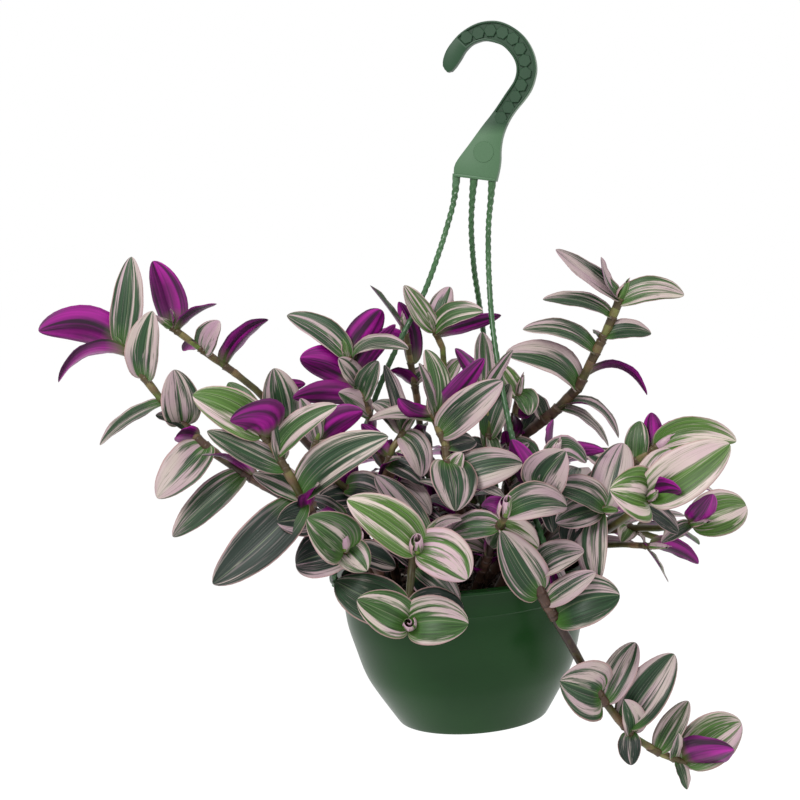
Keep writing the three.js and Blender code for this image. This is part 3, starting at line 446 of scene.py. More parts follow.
outer = stations(HOOK_OUTER, NECK_OUTER)
inner = stations(HOOK_INNER[::-1], NECK_INNER)
hanger_mesh = bmesh.new()
outer_verts = [hanger_mesh.verts.new(p) for p in outer]
inner_verts = [hanger_mesh.verts.new(p) for p in inner]
front = [hanger_mesh.faces.new((outer_verts[k], outer_verts[k + 1], inner_verts[k + 1], inner_verts[k]))
         for k in range(len(outer) - 1)]
thicken(hanger_mesh, front, (0, HOOK_THICK, 0), True)
bmesh.ops.recalc_face_normals(hanger_mesh, faces=hanger_mesh.faces)
sunk = front[CHANNEL[0]:CHANNEL[1]]
bmesh.ops.inset_region(hanger_mesh, faces=sunk, thickness=CHANNEL_RIM, depth=0, use_even_offset=True)
thicken(hanger_mesh, sunk, (0, CHANNEL_DEPTH, 0), False)
bmesh.ops.delete(hanger_mesh, geom=[f for f in sunk if f.is_valid], context="FACES_ONLY")
sides = [e for e in hanger_mesh.edges if len(e.link_faces) == 2 and e.calc_face_angle() > math.radians(50)
         and abs(abs(e.verts[0].co.y) - HOOK_THICK / 2) < 0.01
         and abs(e.verts[0].co.y - e.verts[1].co.y) < 0.01]
bevel(hanger_mesh, sides, 0.5, 2, True)

# Six-sided pads stand in the channel, flat side to flat side, as high as its rims.
pad_curve = even(smooth([seen(x, z, 0) for x, z in PAD_LINE], 20), PAD_COUNT)
facing = Matrix.Rotation(math.pi / 2, 4, "X")
for k, centre in enumerate(pad_curve):
    ahead = way_at(pad_curve, k)
    pad = bmesh.ops.create_cone(hanger_mesh, cap_ends=True, segments=6, radius1=PAD_RADIUS,
                                radius2=PAD_RADIUS, depth=PAD_HEIGHT)["verts"]
    turn = Matrix.Rotation(math.atan2(-ahead.z, ahead.x) + math.pi / 6, 4, "Y") @ facing
    place = Matrix.Translation(centre + Vector((0, -HOOK_THICK / 2 + 1, 0)))
    bmesh.ops.transform(hanger_mesh, matrix=place @ turn, verts=pad)
    crown = [e for e in edges_of(pad) if all(v.co.y < -HOOK_THICK / 2 for v in e.verts)]
    bevel(hanger_mesh, crown, 0.35, 1)

# The plate has a low round boss where the mould was filled, and a lip along its lower edge.
boss = bmesh.ops.create_cone(hanger_mesh, cap_ends=True, segments=48, radius1=BOSS_RADIUS,
                             radius2=BOSS_RADIUS - 0.4, depth=BOSS_HEIGHT)["verts"]
place = Matrix.Translation(seen(*BOSS_PLACE, 0) + forward)
bmesh.ops.transform(hanger_mesh, matrix=place @ facing, verts=boss)
lip = bmesh.ops.create_cube(hanger_mesh, size=1)["verts"]
low_left, low_right = inner[-1], outer[-1]
run = low_right - low_left
place = Matrix.Translation((low_left + low_right) / 2 + Vector((0, HOOK_THICK / 2, 0.9)))
turn = Matrix.Rotation(math.atan2(-run.z, run.x), 4, "Y")
sized = Matrix.Diagonal((run.length, HOOK_THICK + 1.2, 2, 1))
bmesh.ops.transform(hanger_mesh, matrix=place @ turn @ sized, verts=lip)
bevel(hanger_mesh, edges_of(lip), 0.4, 2)
bmesh.ops.transform(hanger_mesh, matrix=Matrix.Rotation(HOOK_TURN, 4, "Z"), verts=hanger_mesh.verts)

# Each strand is a little thicker where it leaves the plate.
strand_lines = []
for bearing, route in zip(STRAND_BEARINGS, STRAND_ROUTES):
    place = on_circle(PEG_CIRCLE, bearing)
    points = [seen(*p) for p in route] + [in_pot(*place, POT_HEIGHT + 8), in_pot(*place, POT_HEIGHT + 0.3)]
    strand_lines.append(smooth(points))
    fine = smooth(points, 18)
    radii = [max(STRAND_RADIUS * 1.1, SOCKET_RADIUS + 0.3 - 0.03 * i) for i in range(len(fine))]
    before = len(hanger_mesh.faces)
    draw_bar(hanger_mesh, fine, radii, 15, 3, TWIST_PITCH)
    hanger_mesh.faces.ensure_lookup_table()
    for face in hanger_mesh.faces[before:]:
        face.material_index = 1
    under = POT_HEIGHT - LEDGE_THICK - FIT_GAP
    peg = [(POT_HEIGHT + 2, PEG_RADIUS), (under, PEG_RADIUS), (under - 0.05, BUTTON_RADIUS - 0.5),
           (under - 0.5, BUTTON_RADIUS), (under - BUTTON_THICK + 0.6, BUTTON_RADIUS),
           (under - BUTTON_THICK, BUTTON_RADIUS - 0.7)]
    draw_bar(hanger_mesh, [in_pot(*place, height) for height, _ in peg], [r for _, r in peg], 20)
bmesh.ops.recalc_face_normals(hanger_mesh, faces=hanger_mesh.faces)

# A mixing node takes its two colours at these places.
FIRST, SECOND = 6, 7

# The same plastic as the pot with more pigment and a duller skin. The plate, below the arm, is paler.
moulded, tree, shader = new_material("moulded_polypropylene")
where = add(tree, "TexCoord").outputs["Object"]
flow = add(tree, "TexNoise", {"Vector": where, "Scale": 30, "Detail": 4})
tint = add(tree, "ValToRGB", {"Fac": flow}, stops=[(0.3, "#12301a"), (0.7, "#1b3c23")])
height = add(tree, "SeparateXYZ", {"Vector": where}).outputs["Z"]
plate_blend = add(tree, "MapRange", {"Value": height, "From Min": -0.056, "From Max": -0.064})
plate_toned = add(tree, "Mix", {"Factor": plate_blend, FIRST: tint, SECOND: linear("#405f42")}, data_type="RGBA")
grain = add(tree, "TexNoise", {"Vector": where, "Scale": 700, "Detail": 2})
relief = add(tree, "Bump", {"Height": grain, "Strength": 0.05, "Distance": 0.0002})
connect(shader, {"Base Color": plate_toned, "Normal": relief, "Roughness": 0.42, "IOR": 1.4})
# In the strands the plastic has been drawn thin and twisted, and looks smoother.
drawn, tree, shader = new_material("drawn_polypropylene")
where = add(tree, "TexCoord").outputs["Object"]
flow = add(tree, "TexNoise", {"Vector": where, "Scale": 45, "Detail": 3})
tint = add(tree, "ValToRGB", {"Fac": flow}, stops=[(0.3, "#224722"), (0.7, "#315a30")])
connect(shader, {"Base Color": tint, "Roughness": 0.34, "IOR": 1.49})
hanger = finish_piece("hook_hanger", hanger_mesh, [moulded, drawn], "hanger")
hanger.data.set_sharp_from_angle(angle=math.radians(30))

# Leafy stems: each trailing stem stands in the soil and carries alternate leaves, whose bases sheathe it at
# the nodes. Leaves are fleshy, under 1 mm thick, striped above and purple below. A young leaf is rolled at
# each tip.
BLADE_THICK = 1.6
BLADE_CUP = 0.2
KEEP_CLEAR = 0.6
STEM_SIDES = 4
# Where a coarse leaf up to each length has its rows of points. Leaves of one stem may touch each other at
# their feet, up to FREE_FROM.
BLADE_ROWS = [(18, (0.42,)), (46, (0.26, 0.68)), (math.inf, (0.17, 0.46, 0.78))]
FREE_FROM = 0.2
# A leaf that would touch something is swung or shifted at its tip, twisted in degrees, or made smaller.
SWINGS = (0, -6, 6, -12, 12, -18, 18, -24, 24, -32, 32)
SHIFTS = (0, 6, -6, 12, -12)
TWISTS = (0, 16, -16)
SHRINKS = (1, 0.85, 0.7)
UP = Vector((0, 0, 1))
AWAY = Vector((0, 1, 0))
TO_VIEWER = Vector((0, -1, 0))

# A letter for each leaf's colours: bright young, young pinkish, green, striped, thinly striped, whitish,
# pink banded, dark old, magenta beneath, nearly all green when old and when young. Each gives age, share of
# the leaf that is pale, and how pink the pale bands are.
TONES = {"b": (0.08, 0.42, 0.3), "y": (0.22, 0.54, 0.6), "g": (0.4, 0.34, 0.35), "s": (0.7, 0.44, 0.45),
         "t": (0.8, 0.32, 0.5), "w": (0.8, 0.58, 0.55), "p": (0.6, 0.54, 0.8), "d": (1, 0.24, 0.5),
         "m": (0.6, 0.4, 0.6), "o": (0.75, 0.12, 0.3), "l": (0.35, 0.22, 0.35)}

# The stems seen from the front. Each gives its name, the place of its root in the soil (right, back), its
# radius at foot and tip, a tone for each leaf, its route (x, z, depth), and its leaves: x and z where the
# leaf leaves the stem, x and z of the tip, width, turn, depth from stem to tip, arch, bow. Turn 0 shows the
# upper face.
SHOOTS = [
    ("front_centre", (-20, -50), (3.6, 2.6), "bywy",
     [(-42, -348, -92), (-46, -351, -118), (-48.5, -357, -150)],
     [(-57, -357, -98, -321, 30, 20, -12, 5, 3), (-57, -358, -14, -377, 32, 25, -6, 5, 4),
      (-43, -343, -78, -304, 20, 20, 22, 4, 0), (-44, -346, 1, -357, 24, 35, 20, 5, 6)]),
    ("front_low", (-34, -60), (3.4, 2.4), "lldoddt",
     [(-51, -352, -92), (-53, -372, -108), (-55, -395, -114), (-55, -409, -124)],
     [(-56, -408, -91, -391, 29, 20, -12, 4, 0), (-53, -409, -13, -408, 32, 20, -8, 4, 2),
      (-50, -402, -16, -398, 25, 35, 14, 3, 3), (-60, -400, -106, -378, 33, 25, 14, 5, -3),
      (-50, -384, -74, -381, 26, 45, 10, 3, 0), (-24, -372, -30, -393, 18, 30, -2, 3, 0),
      (-20, -366, -15, -404, 21, 20, 0, 3, 3)]),
    ("right_trailing", (21, -60), (4.2, 2.2), "sowwmsstsdgssmy",
     [(27, -353, -80), (33, -357, -96), (37, -386, -104), (48, -404, -100), (59, -423, -94),
      (79, -458, -86), (104, -488, -78), (120, -498, -74), (138, -505, -70)],
     [(36, -387, 10, -343, 30, 20, -16, 5, -3), (52, -400, 93, -388, 36, 25, -6, 6, 3),
      (41, -371, 68, -357, 22, 30, -6, 4, 3), (52, -387, 76, -372, 17, 30, -8, 3, 0),
      (52, -397, 44, -370, 13, 115, -8, 2, 0), (79, -457, 51, -448, 40, 20, -18, 5, 0),
      (84, -462, 104, -421, 22, 20, 14, 4, 0), (96, -479, 131, -429, 30, 20, 2, 5, 0),
      (100, -485, 96, -461, 18, 20, -14, 3, 2), (99, -485, 101, -507, 16, 20, -8, 2, 0),
      (120, -497, 141, -462, 18, 25, 8, 3, 0), (130, -502, 131, -479, 9, 20, -10, 1, 0),
      (133, -503, 140, -524, 10, 30, -8, 1, 0), (138, -506, 173, -496, 31, 160, -22, -4, 3),
      (138, -505, 178, -477, 34, 15, 10, 5, 3)]),
    ("left_whorl", (-50, -50), (3.4, 2.4), "lgpdd",
     [(-84, -357, -88), (-96, -357, -108), (-99.5, -356, -132)],
     [(-101, -352, -126, -334, 32, 15, -22, 5, 2), (-99, -358, -84, -371, 22, 20, -12, 3, 0),
      (-97, -352, -88, -345, 14, 30, -8, 2, 0), (-95, -360, -64, -368, 20, 40, 12, 3, 0),
      (-95, -360, -134, -366, 34, 30, 8, 5, 0)]),
    ("left_front", (-58, -28), (4, 2.6), "mblgssosddo",
     [(-92, -336, -74), (-121, -334, -100), (-134.8, -310, -106), (-150.5, -284, -110),
      (-159, -273, -112)],
     [(-153, -279, -180, -266, 30, 165, -26, -5, 12), (-157, -276, -206, -248, 28, 20, -4, 4, 3),
      (-155, -272, -181, -239, 18, 20, 14, 3, 0), (-146, -289, -105, -255, 18, 25, -10, 4, 4),
      (-141, -292, -149, -268, 12, 30, -5, 2, 0), (-143, -300, -196, -273, 19, 30, -16, 4, -2),
      (-129, -317, -69, -277, 28, 25, -20, 5, 5), (-130, -322, -164, -303, 15, 35, 8, 3, 0),
      (-134, -324, -192, -380, 33, 25, -16, 5, -4), (-124, -338, -147, -337, 24, 20, -16, 3, 0),
      (-122, -342, -146, -357, 18, 60, -2, 2, 0)]),
    ("right_whorl_low", (6, -56), (3.4, 2.4), "bppsb",
     [(4, -350, -88), (9, -340, -108), (12.5, -332, -132)],
     [(13, -341, 37, -357, 20, 25, -8, 3, 0), (11, -341, -26, -345, 20, 30, 14, 3, 2),
      (11, -340, 3, -357, 14, 30, 3, 2, 0), (14, -330, 56, -326, 25, 30, 22, 4, 5),
      (9, -329, -4, -325, 14, 150, -6, 2, 2)]),
    ("right_whorl", (42, -28), (3.8, 2.6), "bbmyd",
     [(62, -352, -56), (84, -342, -86), (104, -328, -112), (113, -320, -130)],
     [(116, -320, 170, -282, 33, 15, -10, 5, 0), (111, -320, 86, -314, 36, 25, -20, 6, 0),
      (116, -320, 135, -314, 16, 165, -14, 2, 2), (108, -318, 129, -286, 20, 25, 20, 3, 3),
      (106, -324, 134, -344, 18, 45, 10, 3, 0)]),
    ("centre", (-12, -26), (3.8, 2.4), "twsygpmmsd",
     [(-16, -345, -48), (-23, -318, -78), (-26, -304, -88), (-28, -294, -88), (-29.4, -281, -84),
      (-34, -271, -82), (-37, -261, -82)],
     [(-27, -294, -22, -329, 32, 20, -20, 5, 0), (-28, -273, 11, -238, 25, 20, -16, 5, 0),
      (-24, -310, 25, -296, 28, 25, -6, 4, 3), (-26, -303, -17, -289, 13, 20, -8, 2, 0),
      (-34, -262, -43, -216, 19, 25, 16, 4, 3), (-33, -260, -48, -224, 14, 60, -2, 3, -2),
      (-31, -260, -2, -222, 15, 168, -5, 3, -2), (-36, -261, -62, -250, 12, 160, -8, 2, -5),
      (-36, -267, -83, -268, 15, 55, 6, 3, 3), (-27, -285, -8, -280, 18, 45, 12, 2, 0)]),
    ("right_round", (10, -38), (3.6, 2.4), "wpmmdd",
     [(24, -345, -64), (30, -325, -84), (41, -308, -100), (46, -293, -104)],
     [(40, -314, 55, -287, 31, 15, -18, 5, 2), (42, -300, 71, -297, 18, 45, -10, 5, 9),
      (46, -290, 49, -268, 12, 120, 4, 1, 0), (46, -291, 83, -288, 12, 160, 8, 2, 2),
      (38, -318, 17, -279, 18, 165, 12, 2, 0), (40, -318, 46, -344, 18, 35, -6, 3, 0)]),
    ("right_inner", (26, -40), (3.6, 2.2), "swwsd",
     [(50, -338, -66), (70, -328, -82), (82, -328, -96)],
     [(85, -332, 46, -313, 22, 35, -12, 4, 3), (82, -330, 97, -283, 28, 20, 4, 4, 0),
      (78, -340, 48, -337, 22, 30, -8, 3, 0), (78, -344, 78, -381, 22, 20, -16, 4, 3),
      (74, -346, 54, -358, 18, 40, -6, 3, 0)]),
    ("right_reaching", (38, -4), (3.4, 2.2), "mbwb",
     [(64, -346, -14), (86, -342, -30), (98, -341, -46), (120, -341, -68), (143, -338, -86)],
     [(143, -338, 158, -317, 19, 165, -22, -4, 0), (148, -338, 184, -327, 31, 20, -2, 5, 0),
      (144, -338, 122, -351, 11, 40, -10, 2, 0), (100, -340, 95, -352, 14, 25, -18, 2, 0)]),
    ("right_lower", (54, -10), (3, 1.8), "mgs",
     [(66, -354, -36), (80, -353, -52), (95, -352.5, -68), (114, -353.5, -82)],
     [(114, -353, 148, -366, 14, 150, -4, 2, 3), (110, -353, 127, -379, 10, 80, -8, 1, 0),
      (110, -353, 106, -345, 8, 80, -8, 1, 0)]),
    ("far_left", (-64, -8), (4, 2.4), "mssssswdpss",
     [(-86, -348, -30), (-131, -325, -50), (-171, -302, -48), (-201, -280, -42), (-228, -251, -34),
      (-255, -215, -26)],
     [(-257, -213, -314, -203, 27, 172, -8, 5, 9), (-256, -212, -249, -151, 25, 20, 6, 4, -3),
      (-250, -221, -300, -239, 20, 118, -16, 7, 6), (-239, -236, -234, -189, 26, 20, -12, 5, 0),
      (-240, -232, -247, -203, 12, 60, 8, 2, 0), (-223, -252, -271, -283, 22, 65, -12, 4, 0),
      (-211, -266, -219, -230, 27, 15, -12, 5, 0), (-210, -273, -232, -262, 16, 60, -5, 2, 0),
      (-202, -279, -218, -277, 16, 150, -12, 2, 0), (-196, -283, -231, -320, 31, 30, -22, 5, -3),
      (-170, -303, -220, -347, 23, 25, -10, 4, 0)]),
    ("upper_left", (-52, 6), (3.6, 2.2), "mgdpgmsm",
     [(-74, -340, 8), (-122, -286, 0), (-162, -244, -4), (-190, -223, -6), (-220, -201, -8)],
     [(-223, -198, -234, -154, 24, 175, 5, 4, 2), (-220, -200, -221, -187, 10, 90, 5, 1, 0),
      (-217, -204, -189, -184, 18, 108, -5, 3, 0), (-198, -217, -187, -196, 20, 25, -14, 4, 0),
      (-200, -215, -213, -217, 16, 120, 5, 2, 0), (-183, -228, -153, -195, 20, 125, -3, 3, 2),
      (-143, -266, -149, -229, 28, 10, -14, 8, 0), (-155, -250, -127, -240, 12, 165, 3, 1, 2)]),
    ("left_inner", (-46, -12), (3.2, 2), "mpgdd",
     [(-74, -336, -40), (-108, -306, -66), (-122, -288, -68), (-118, -274, -66)],
     [(-121, -282, -87, -259, 20, 170, -4, 4, 3), (-121, -280, -130, -249, 16, 30, 8, 2, 0),
      (-120, -290, -103, -283, 15, 30, -4, 2, 0), (-100, -315, -70, -322, 24, 40, -8, 3, 2),
      (-95, -322, -118, -333, 22, 45, -8, 3, 0)]),
    ("centre_left", (-34, -30), (3.4, 2), "wdsdmw",
     [(-60, -338, -46), (-72, -303, -62), (-66, -285, -64), (-58, -273, -62)],
     [(-60, -276, -46, -305, 20, 15, -12, 5, 4), (-70, -297, -44, -311, 16, 35, -10, 3, 2),
      (-60, -275, -80, -250, 22, 40, -6, 4, 3), (-59, -274, -72, -234, 14, 40, 8, 2, 0),
      (-72, -290, -88, -268, 12, 165, 0, 1, 0), (-68, -312, -40, -330, 22, 35, -6, 3, 2)]),
    ("upper_centre_left", (-28, 4), (3.8, 2.2), "smmsssymp",
     [(-50, -335, -16), (-74, -290, -28), (-84, -257, -32), (-92, -237, -32), (-97, -222, -32)],
     [(-99, -218, -140, -192, 20, 30, 8, 4, 3), (-97, -222, -74, -188, 22, 172, -6, 5, 0),
      (-93, -238, -131, -222, 25, 175, -12, 3, 3), (-92, -240, -104, -222, 16, 35, -10, 2, 0),
      (-97, -226, -55, -215, 18, 60, -8, 4, 6), (-86, -250, -76, -224, 18, 30, -10, 3, 0),
      (-92, -236, -64, -198, 14, 150, 10, 2, 0), (-87, -252, -136, -250, 18, 165, -4, 3, 3),
      (-84, -262, -104, -246, 18, 40, -8, 3, 0)]),
    ("centre_right", (0, -8), (3.4, 2), "sppgmd",
     [(-4, -340, -26), (0, -305, -34), (1, -284, -34), (2, -268, -32), (-2, -246, -28)],
     [(2, -278, 16, -240, 20, 30, 4, 3, 0), (-2, -246, -3, -204, 18, 20, 8, 3, 0),
      (-1, -250, 18, -216, 14, 60, -12, 3, -2), (2, -276, 9, -296, 10, 20, -8, 1, 0),
      (-2, -248, -22, -216, 14, 150, 6, 2, 0), (0, -290, -24, -284, 18, 40, 6, 3, 0)]),
    ("behind_strand", (17, -14), (3.2, 2), "bgmm",
     [(12, -338, -20), (15, -300, -24), (17, -272, -24), (22, -248, -22)],
     [(22, -250, 8, -226, 16, 30, -4, 2, 0), (22, -244, 29, -262, 17, 20, -10, 3, 2),
      (19, -262, 31, -261, 12, 160, -4, 1, 1), (16, -286, 36, -300, 20, 40, -6, 3, 2)]),
    ("upper_centre", (-20, 24), (3.4, 2), "mmmds",
     [(-30, -330, 14), (-44, -288, 12), (-49, -250, 10), (-53, -228, 6), (-57, -205, 2)],
     [(-57, -206, -82, -171, 14, 80, 4, 3, -2), (-53, -226, -62, -183, 15, 165, -8, 3, 3),
      (-50, -243, -69, -231, 14, 130, -8, 2, 1), (-55, -214, -80, -208, 16, 150, 4, 2, 2),
      (-50, -240, -38, -228, 14, 40, 8, 2, 0)]),
    ("top_centre", (-10, 9), (3.4, 2), "ypmgmy",
     [(-14, -330, 0), (-24, -288, 0), (-29, -245, 0), (-31, -215, -2), (-37, -202, -6)],
     [(-38, -203, -58, -171, 17, 25, -8, 3, -2), (-36, -203, -26, -172, 18, 25, 8, 3, 0),
      (-36, -203, -24, -179, 14, 170, -6, 2, 0), (-36, -203, -3, -189, 19, 40, -10, 4, 4),
      (-34, -205, 10, -192, 14, 150, 6, 3, -2), (-29, -240, -18, -222, 14, 40, 8, 2, 0)]),
    ("upper_right", (12, 10), (4.6, 2.8), "wpgstpssmwsw",
     [(12, -335, 8), (16, -298, 8), (26, -276, 4), (47.6, -259, -2), (64.4, -242, -6),
      (76.3, -217.7, -10), (83.3, -203.7, -12), (93, -181, -14)],
     [(93, -181, 48, -146, 20, 45, -12, 3, -2), (93, -180, 79, -151, 14, 60, 0, 2, -5),
      (93, -184, 138, -178, 20, 30, -6, 4, 5), (88, -194, 39, -181, 17, 50, -4, 3, 3),
      (83, -207, 115, -205, 16, 35, -4, 3, 2), (80, -211, 74, -202, 10, 60, 3, 1, 0),
      (76, -219, 25, -202, 18, 45, -6, 4, 5), (63, -244, 13, -219, 27, 40, -12, 7, 6),
      (68, -238, 112, -248, 17, 108, -4, 5, 9), (50, -258, 92, -278, 16, 70, -12, 5, 8),
      (50, -259, 85, -284, 13, 60, 4, 3, 4), (40, -266, 31, -246, 14, 30, 8, 2, 0)]),
    ("right_back", (31, 14), (3.4, 2.2), "gmmbwy",
     [(52, -335, -6), (82, -308, -22), (104, -294, -34), (119, -284, -38)],
     [(105, -294, 107, -266, 17, 20, 6, 3, 0), (116, -286, 115, -260, 15, 165, 6, 2, 0),
      (119, -285, 149, -269, 16, 165, -2, 3, 2), (119, -285, 171, -278, 23, 30, 12, 4, 6),
      (92, -302, 70, -288, 20, 40, 4, 3, 0), (96, -300, 128, -302, 22, 35, 6, 3, 3)]),
]
# The stems at the back: name, bearing, reach, rise of the crown and of the tip over the rim.
BACK_SHOOTS = [("back_1", 8, 128, 30, 12), ("back_2", 26, 150, 46, 40), ("back_3", 44, 116, 30, -4),
               ("back_4", 58, 152, 50, 30), ("back_5", 90, 122, 28, -62), ("back_6", 107, 158, 54, 46),
               ("back_7", 126, 118, 30, -4), ("back_8", 150, 138, 42, 6)]
BACK_RADII = (3.5, 2.2)
BACK_ROOT = (46, 12)
BACK_STEP = 22
BACK_LEAF = (46, 16)
BACK_TIP_LEAF = (34, 16)
BACK_SEED = 4127
# Older leaves in the heart of the plant, between so many millimetres over the rim. Half of them take the
# darkest old tone, partly for their age and partly as painted shade inside the crown.
HEART_STEP = 32
HEART_RISE = (8, 70)
HEART_LEAF = (34, 14)
HEART_SEED = 911


# A leaf, from where it leaves the stem to its tip, with the two ways in which it may be bent aside.
# Its upper face looks along `face`, or is turned by so much from the viewer.
class Leaf:
    def __init__(self, root, tip, width, arch, bow, swing, shift, turn=None, face=None, tone="s"):
        self.root, self.tip, self.width, self.arch, self.bow = root, tip, width, arch, bow
        self.swing, self.shift, self.turn, self.face, self.tone = swing, shift, turn, face, tone

    # The leaf bent aside: its tip moved along its two free directions, twisted, and cut down.
    def bent(self, swing, shift, twist, shrink):
        tip = self.root + (self.tip + swing * self.swing + shift * self.shift - self.root) * shrink
        ahead = (tip - self.root).normalized()
        if self.face:
            face = (self.face - self.face.dot(ahead) * ahead).normalized()
            face = Matrix.Rotation(math.radians(twist), 3, ahead) @ face
            side = ahead.cross(face)
        else:
            front = (TO_VIEWER - TO_VIEWER.dot(ahead) * ahead).normalized()
            side = ahead.cross(front)
            if side.z < 0:
                side.negate()
            angle = math.radians(self.turn + twist)
            face = math.cos(angle) * front + math.sin(angle) * side
        leaf = Leaf(self.root, tip, self.width * shrink, self.arch * shrink, self.bow * shrink, None, None,
                    face=face, tone=self.tone)
        leaf.bend = self.root + 0.45 * (tip - self.root) + 2 * leaf.arch * face + 2 * leaf.bow * side
        return leaf

    # A place on the blade: t along it, across from -1 to 1, lifted by so much, and more towards its edges.
    # The blade is egg-shaped, with a narrow foot, and a blunter tip where that is asked for.
    def place(self, t, across, lift, margin=0, cup=None, blunt=0):
        rib = (1 - t) ** 2 * self.root + 2 * t * (1 - t) * self.bend + t * t * self.tip
        ahead = ((1 - t) * (self.bend - self.root) + t * (self.tip - self.bend)).normalized()
        over = (self.face - self.face.dot(ahead) * ahead).normalized()
        out = ahead.cross(over)
        half = self.width / 2 * (t ** 0.5 * (1 - t) ** (0.69 - blunt) / (0.445 + 0.28 * blunt)
                                 + 0.1 * (1 - t) ** 8)
        raised = BLADE_CUP * half * (abs(across) if cup is None else cup) * (1 + 1.2 * (1 - t) ** 3)
        return rib + across * (half + margin) * out + (raised + lift) * over


# Coarse shapes that only tell whether leaves and stems would touch.
def coarse_blade(leaf, start):
    thick = BLADE_THICK / 2 + KEEP_CLEAR
    rows = next(rows for most, rows in BLADE_ROWS if (leaf.tip - leaf.root).length <= most)
    points = [leaf.place(start, 0, 0)]
    for t in rows:
        if t > start:
            points += [leaf.place(t, -1, 0, KEEP_CLEAR), leaf.place(t, 0, thick),
                       leaf.place(t, 0, -thick), leaf.place(t, 1, 0, KEEP_CLEAR)]
    points.append(leaf.place(1, 0, 0))
    last = len(points) - 5
    faces = [(0, 2, 1), (0, 4, 2), (0, 1, 3), (0, 3, 4), (last, last + 1, last + 4),
             (last + 1, last + 3, last + 4), (last, last + 4, last + 2), (last + 2, last + 4, last + 3)]
    for a in range(1, last, 4):
        left, top, low, right = a, a + 1, a + 2, a + 3
        faces += [(left, top, top + 4), (left, top + 4, left + 4), (top, right, top + 4),
                  (right, right + 4, top + 4), (left, low + 4, low), (left, left + 4, low + 4),
                  (low, low + 4, right), (right, low + 4, right + 4)]
    return BVHTree.FromPolygons(points, faces)


def coarse_bar(line, radii, sides):
    points = []
    side = Vector((1, 0, 0))
    for i, point in enumerate(line):
        ahead = way_at(line, i)
        side = (side - side.dot(ahead) * ahead).normalized()
        across = ahead.cross(side)
        for k in range(sides):
            angle = 2 * math.pi * k / sides
            points.append(point + radii[i] * (math.cos(angle) * side + math.sin(angle) * across))
    faces = []
    for i in range(len(line) - 1):
        for k in range(sides):
            a, b = i * sides + k, i * sides + (k + 1) % sides
            faces += [(a, b, b + sides), (a, b + sides, a + sides)]
    last = (len(line) - 1) * sides
    for k in range(1, sides - 1):
        faces += [(0, k + 1, k), (last, last + k, last + k + 1)]
    return BVHTree.FromPolygons(points, faces)


class Shoot:
    def __init__(self, name, root, route, radii):
        self.name, self.radii, self.leaves, self.blades = name, radii, [], []
        self.foot = in_pot(*root, SOIL_HEIGHT - HOLE_DEPTH + FIT_GAP)
        self.line = smooth([in_pot(*root, SOIL_HEIGHT + 3), *route])
        self.ahead = (self.line[-1] - self.line[-2]).normalized()
        points = [*self.line, self.line[-1] + 5 * self.ahead, self.line[-1] + 12 * self.ahead]
        count = len(self.line)
        thick = [self.radius(i, count) for i in range(count)] + [radii[1] * 1.15, 0.7]
        self.keep_out = coarse_bar(points, [r + KEEP_CLEAR for r in thick], STEM_SIDES)

    # The stem's radius at point i of so many along it.
    def radius(self, i, count):
        return self.radii[0] + (self.radii[1] - self.radii[0]) * i / (count - 1)


# The place on a stem that the front view shows nearest to (x, z).
def nearest(line, x, z):
    best = None
    for p, q in zip(line, line[1:]):
        (px, pz), (qx, qz) = as_seen(p), as_seen(q)
        dx, dz = qx - px, qz - pz
        t = min(1, max(0, ((x - px) * dx + (z - pz) * dz) / (dx * dx + dz * dz)))
        far = math.hypot(px + t * dx - x, pz + t * dz - z)
        if best is None or far <= best[0]:
            best = far, p.lerp(q, t)
    return best[1]


# Places at every step along a stem, from its tip down, each with the way the stem grows there.
def places_along(line, step):
    places = []
    left = 0
    for q, p in zip(line[::-1], line[-2::-1]):
        length = (q - p).length
        ahead = (q - p).normalized()
        while left < length:
            places.append((q - left * ahead, ahead))
            left += step
        left -= length
    return places


rim_centre = in_pot(0, 0, POT_HEIGHT)


# A leaf set by rule, number k from the tip: level, to one side of the stem and then the other, a little
# forward, facing up and outward.
def grown(start, ahead, k, length, draw, tone):
    hand = 1 if k % 2 else -1
    outward = start - rim_centre
    outward.z = 0
    outward.normalize()
    heading = hand * ahead.cross(UP).normalized() + chance(draw, 0.5, 0.5) * ahead
    heading = (heading + 0.3 * next(draw) * UP).normalized()
    over = UP + 0.7 * next(draw) * outward
    width = length * chance(draw, 0.4, 0.1)
    face = (over - over.dot(heading) * heading).normalized()
    arch = chance(draw, 4, 3)
    return Leaf(start, start + length * heading, width, arch, 0, face, heading.cross(face), face=face,
                tone=tone)


shoots = []
for name, root, radii, tones, route, rows in SHOOTS:
    shoot = Shoot(name, root, [seen(*p) for p in route], radii)
    for tone, (x, z, tip_x, tip_z, width, turn, deep, arch, bow) in zip(tones, rows):
        start = nearest(shoot.line, x, z)
        tip = seen(tip_x, tip_z, start.y + deep)
        shoot.leaves.append(Leaf(start, tip, width, arch, bow, AWAY, UP, turn=turn, tone=tone))
    shoots.append(shoot)

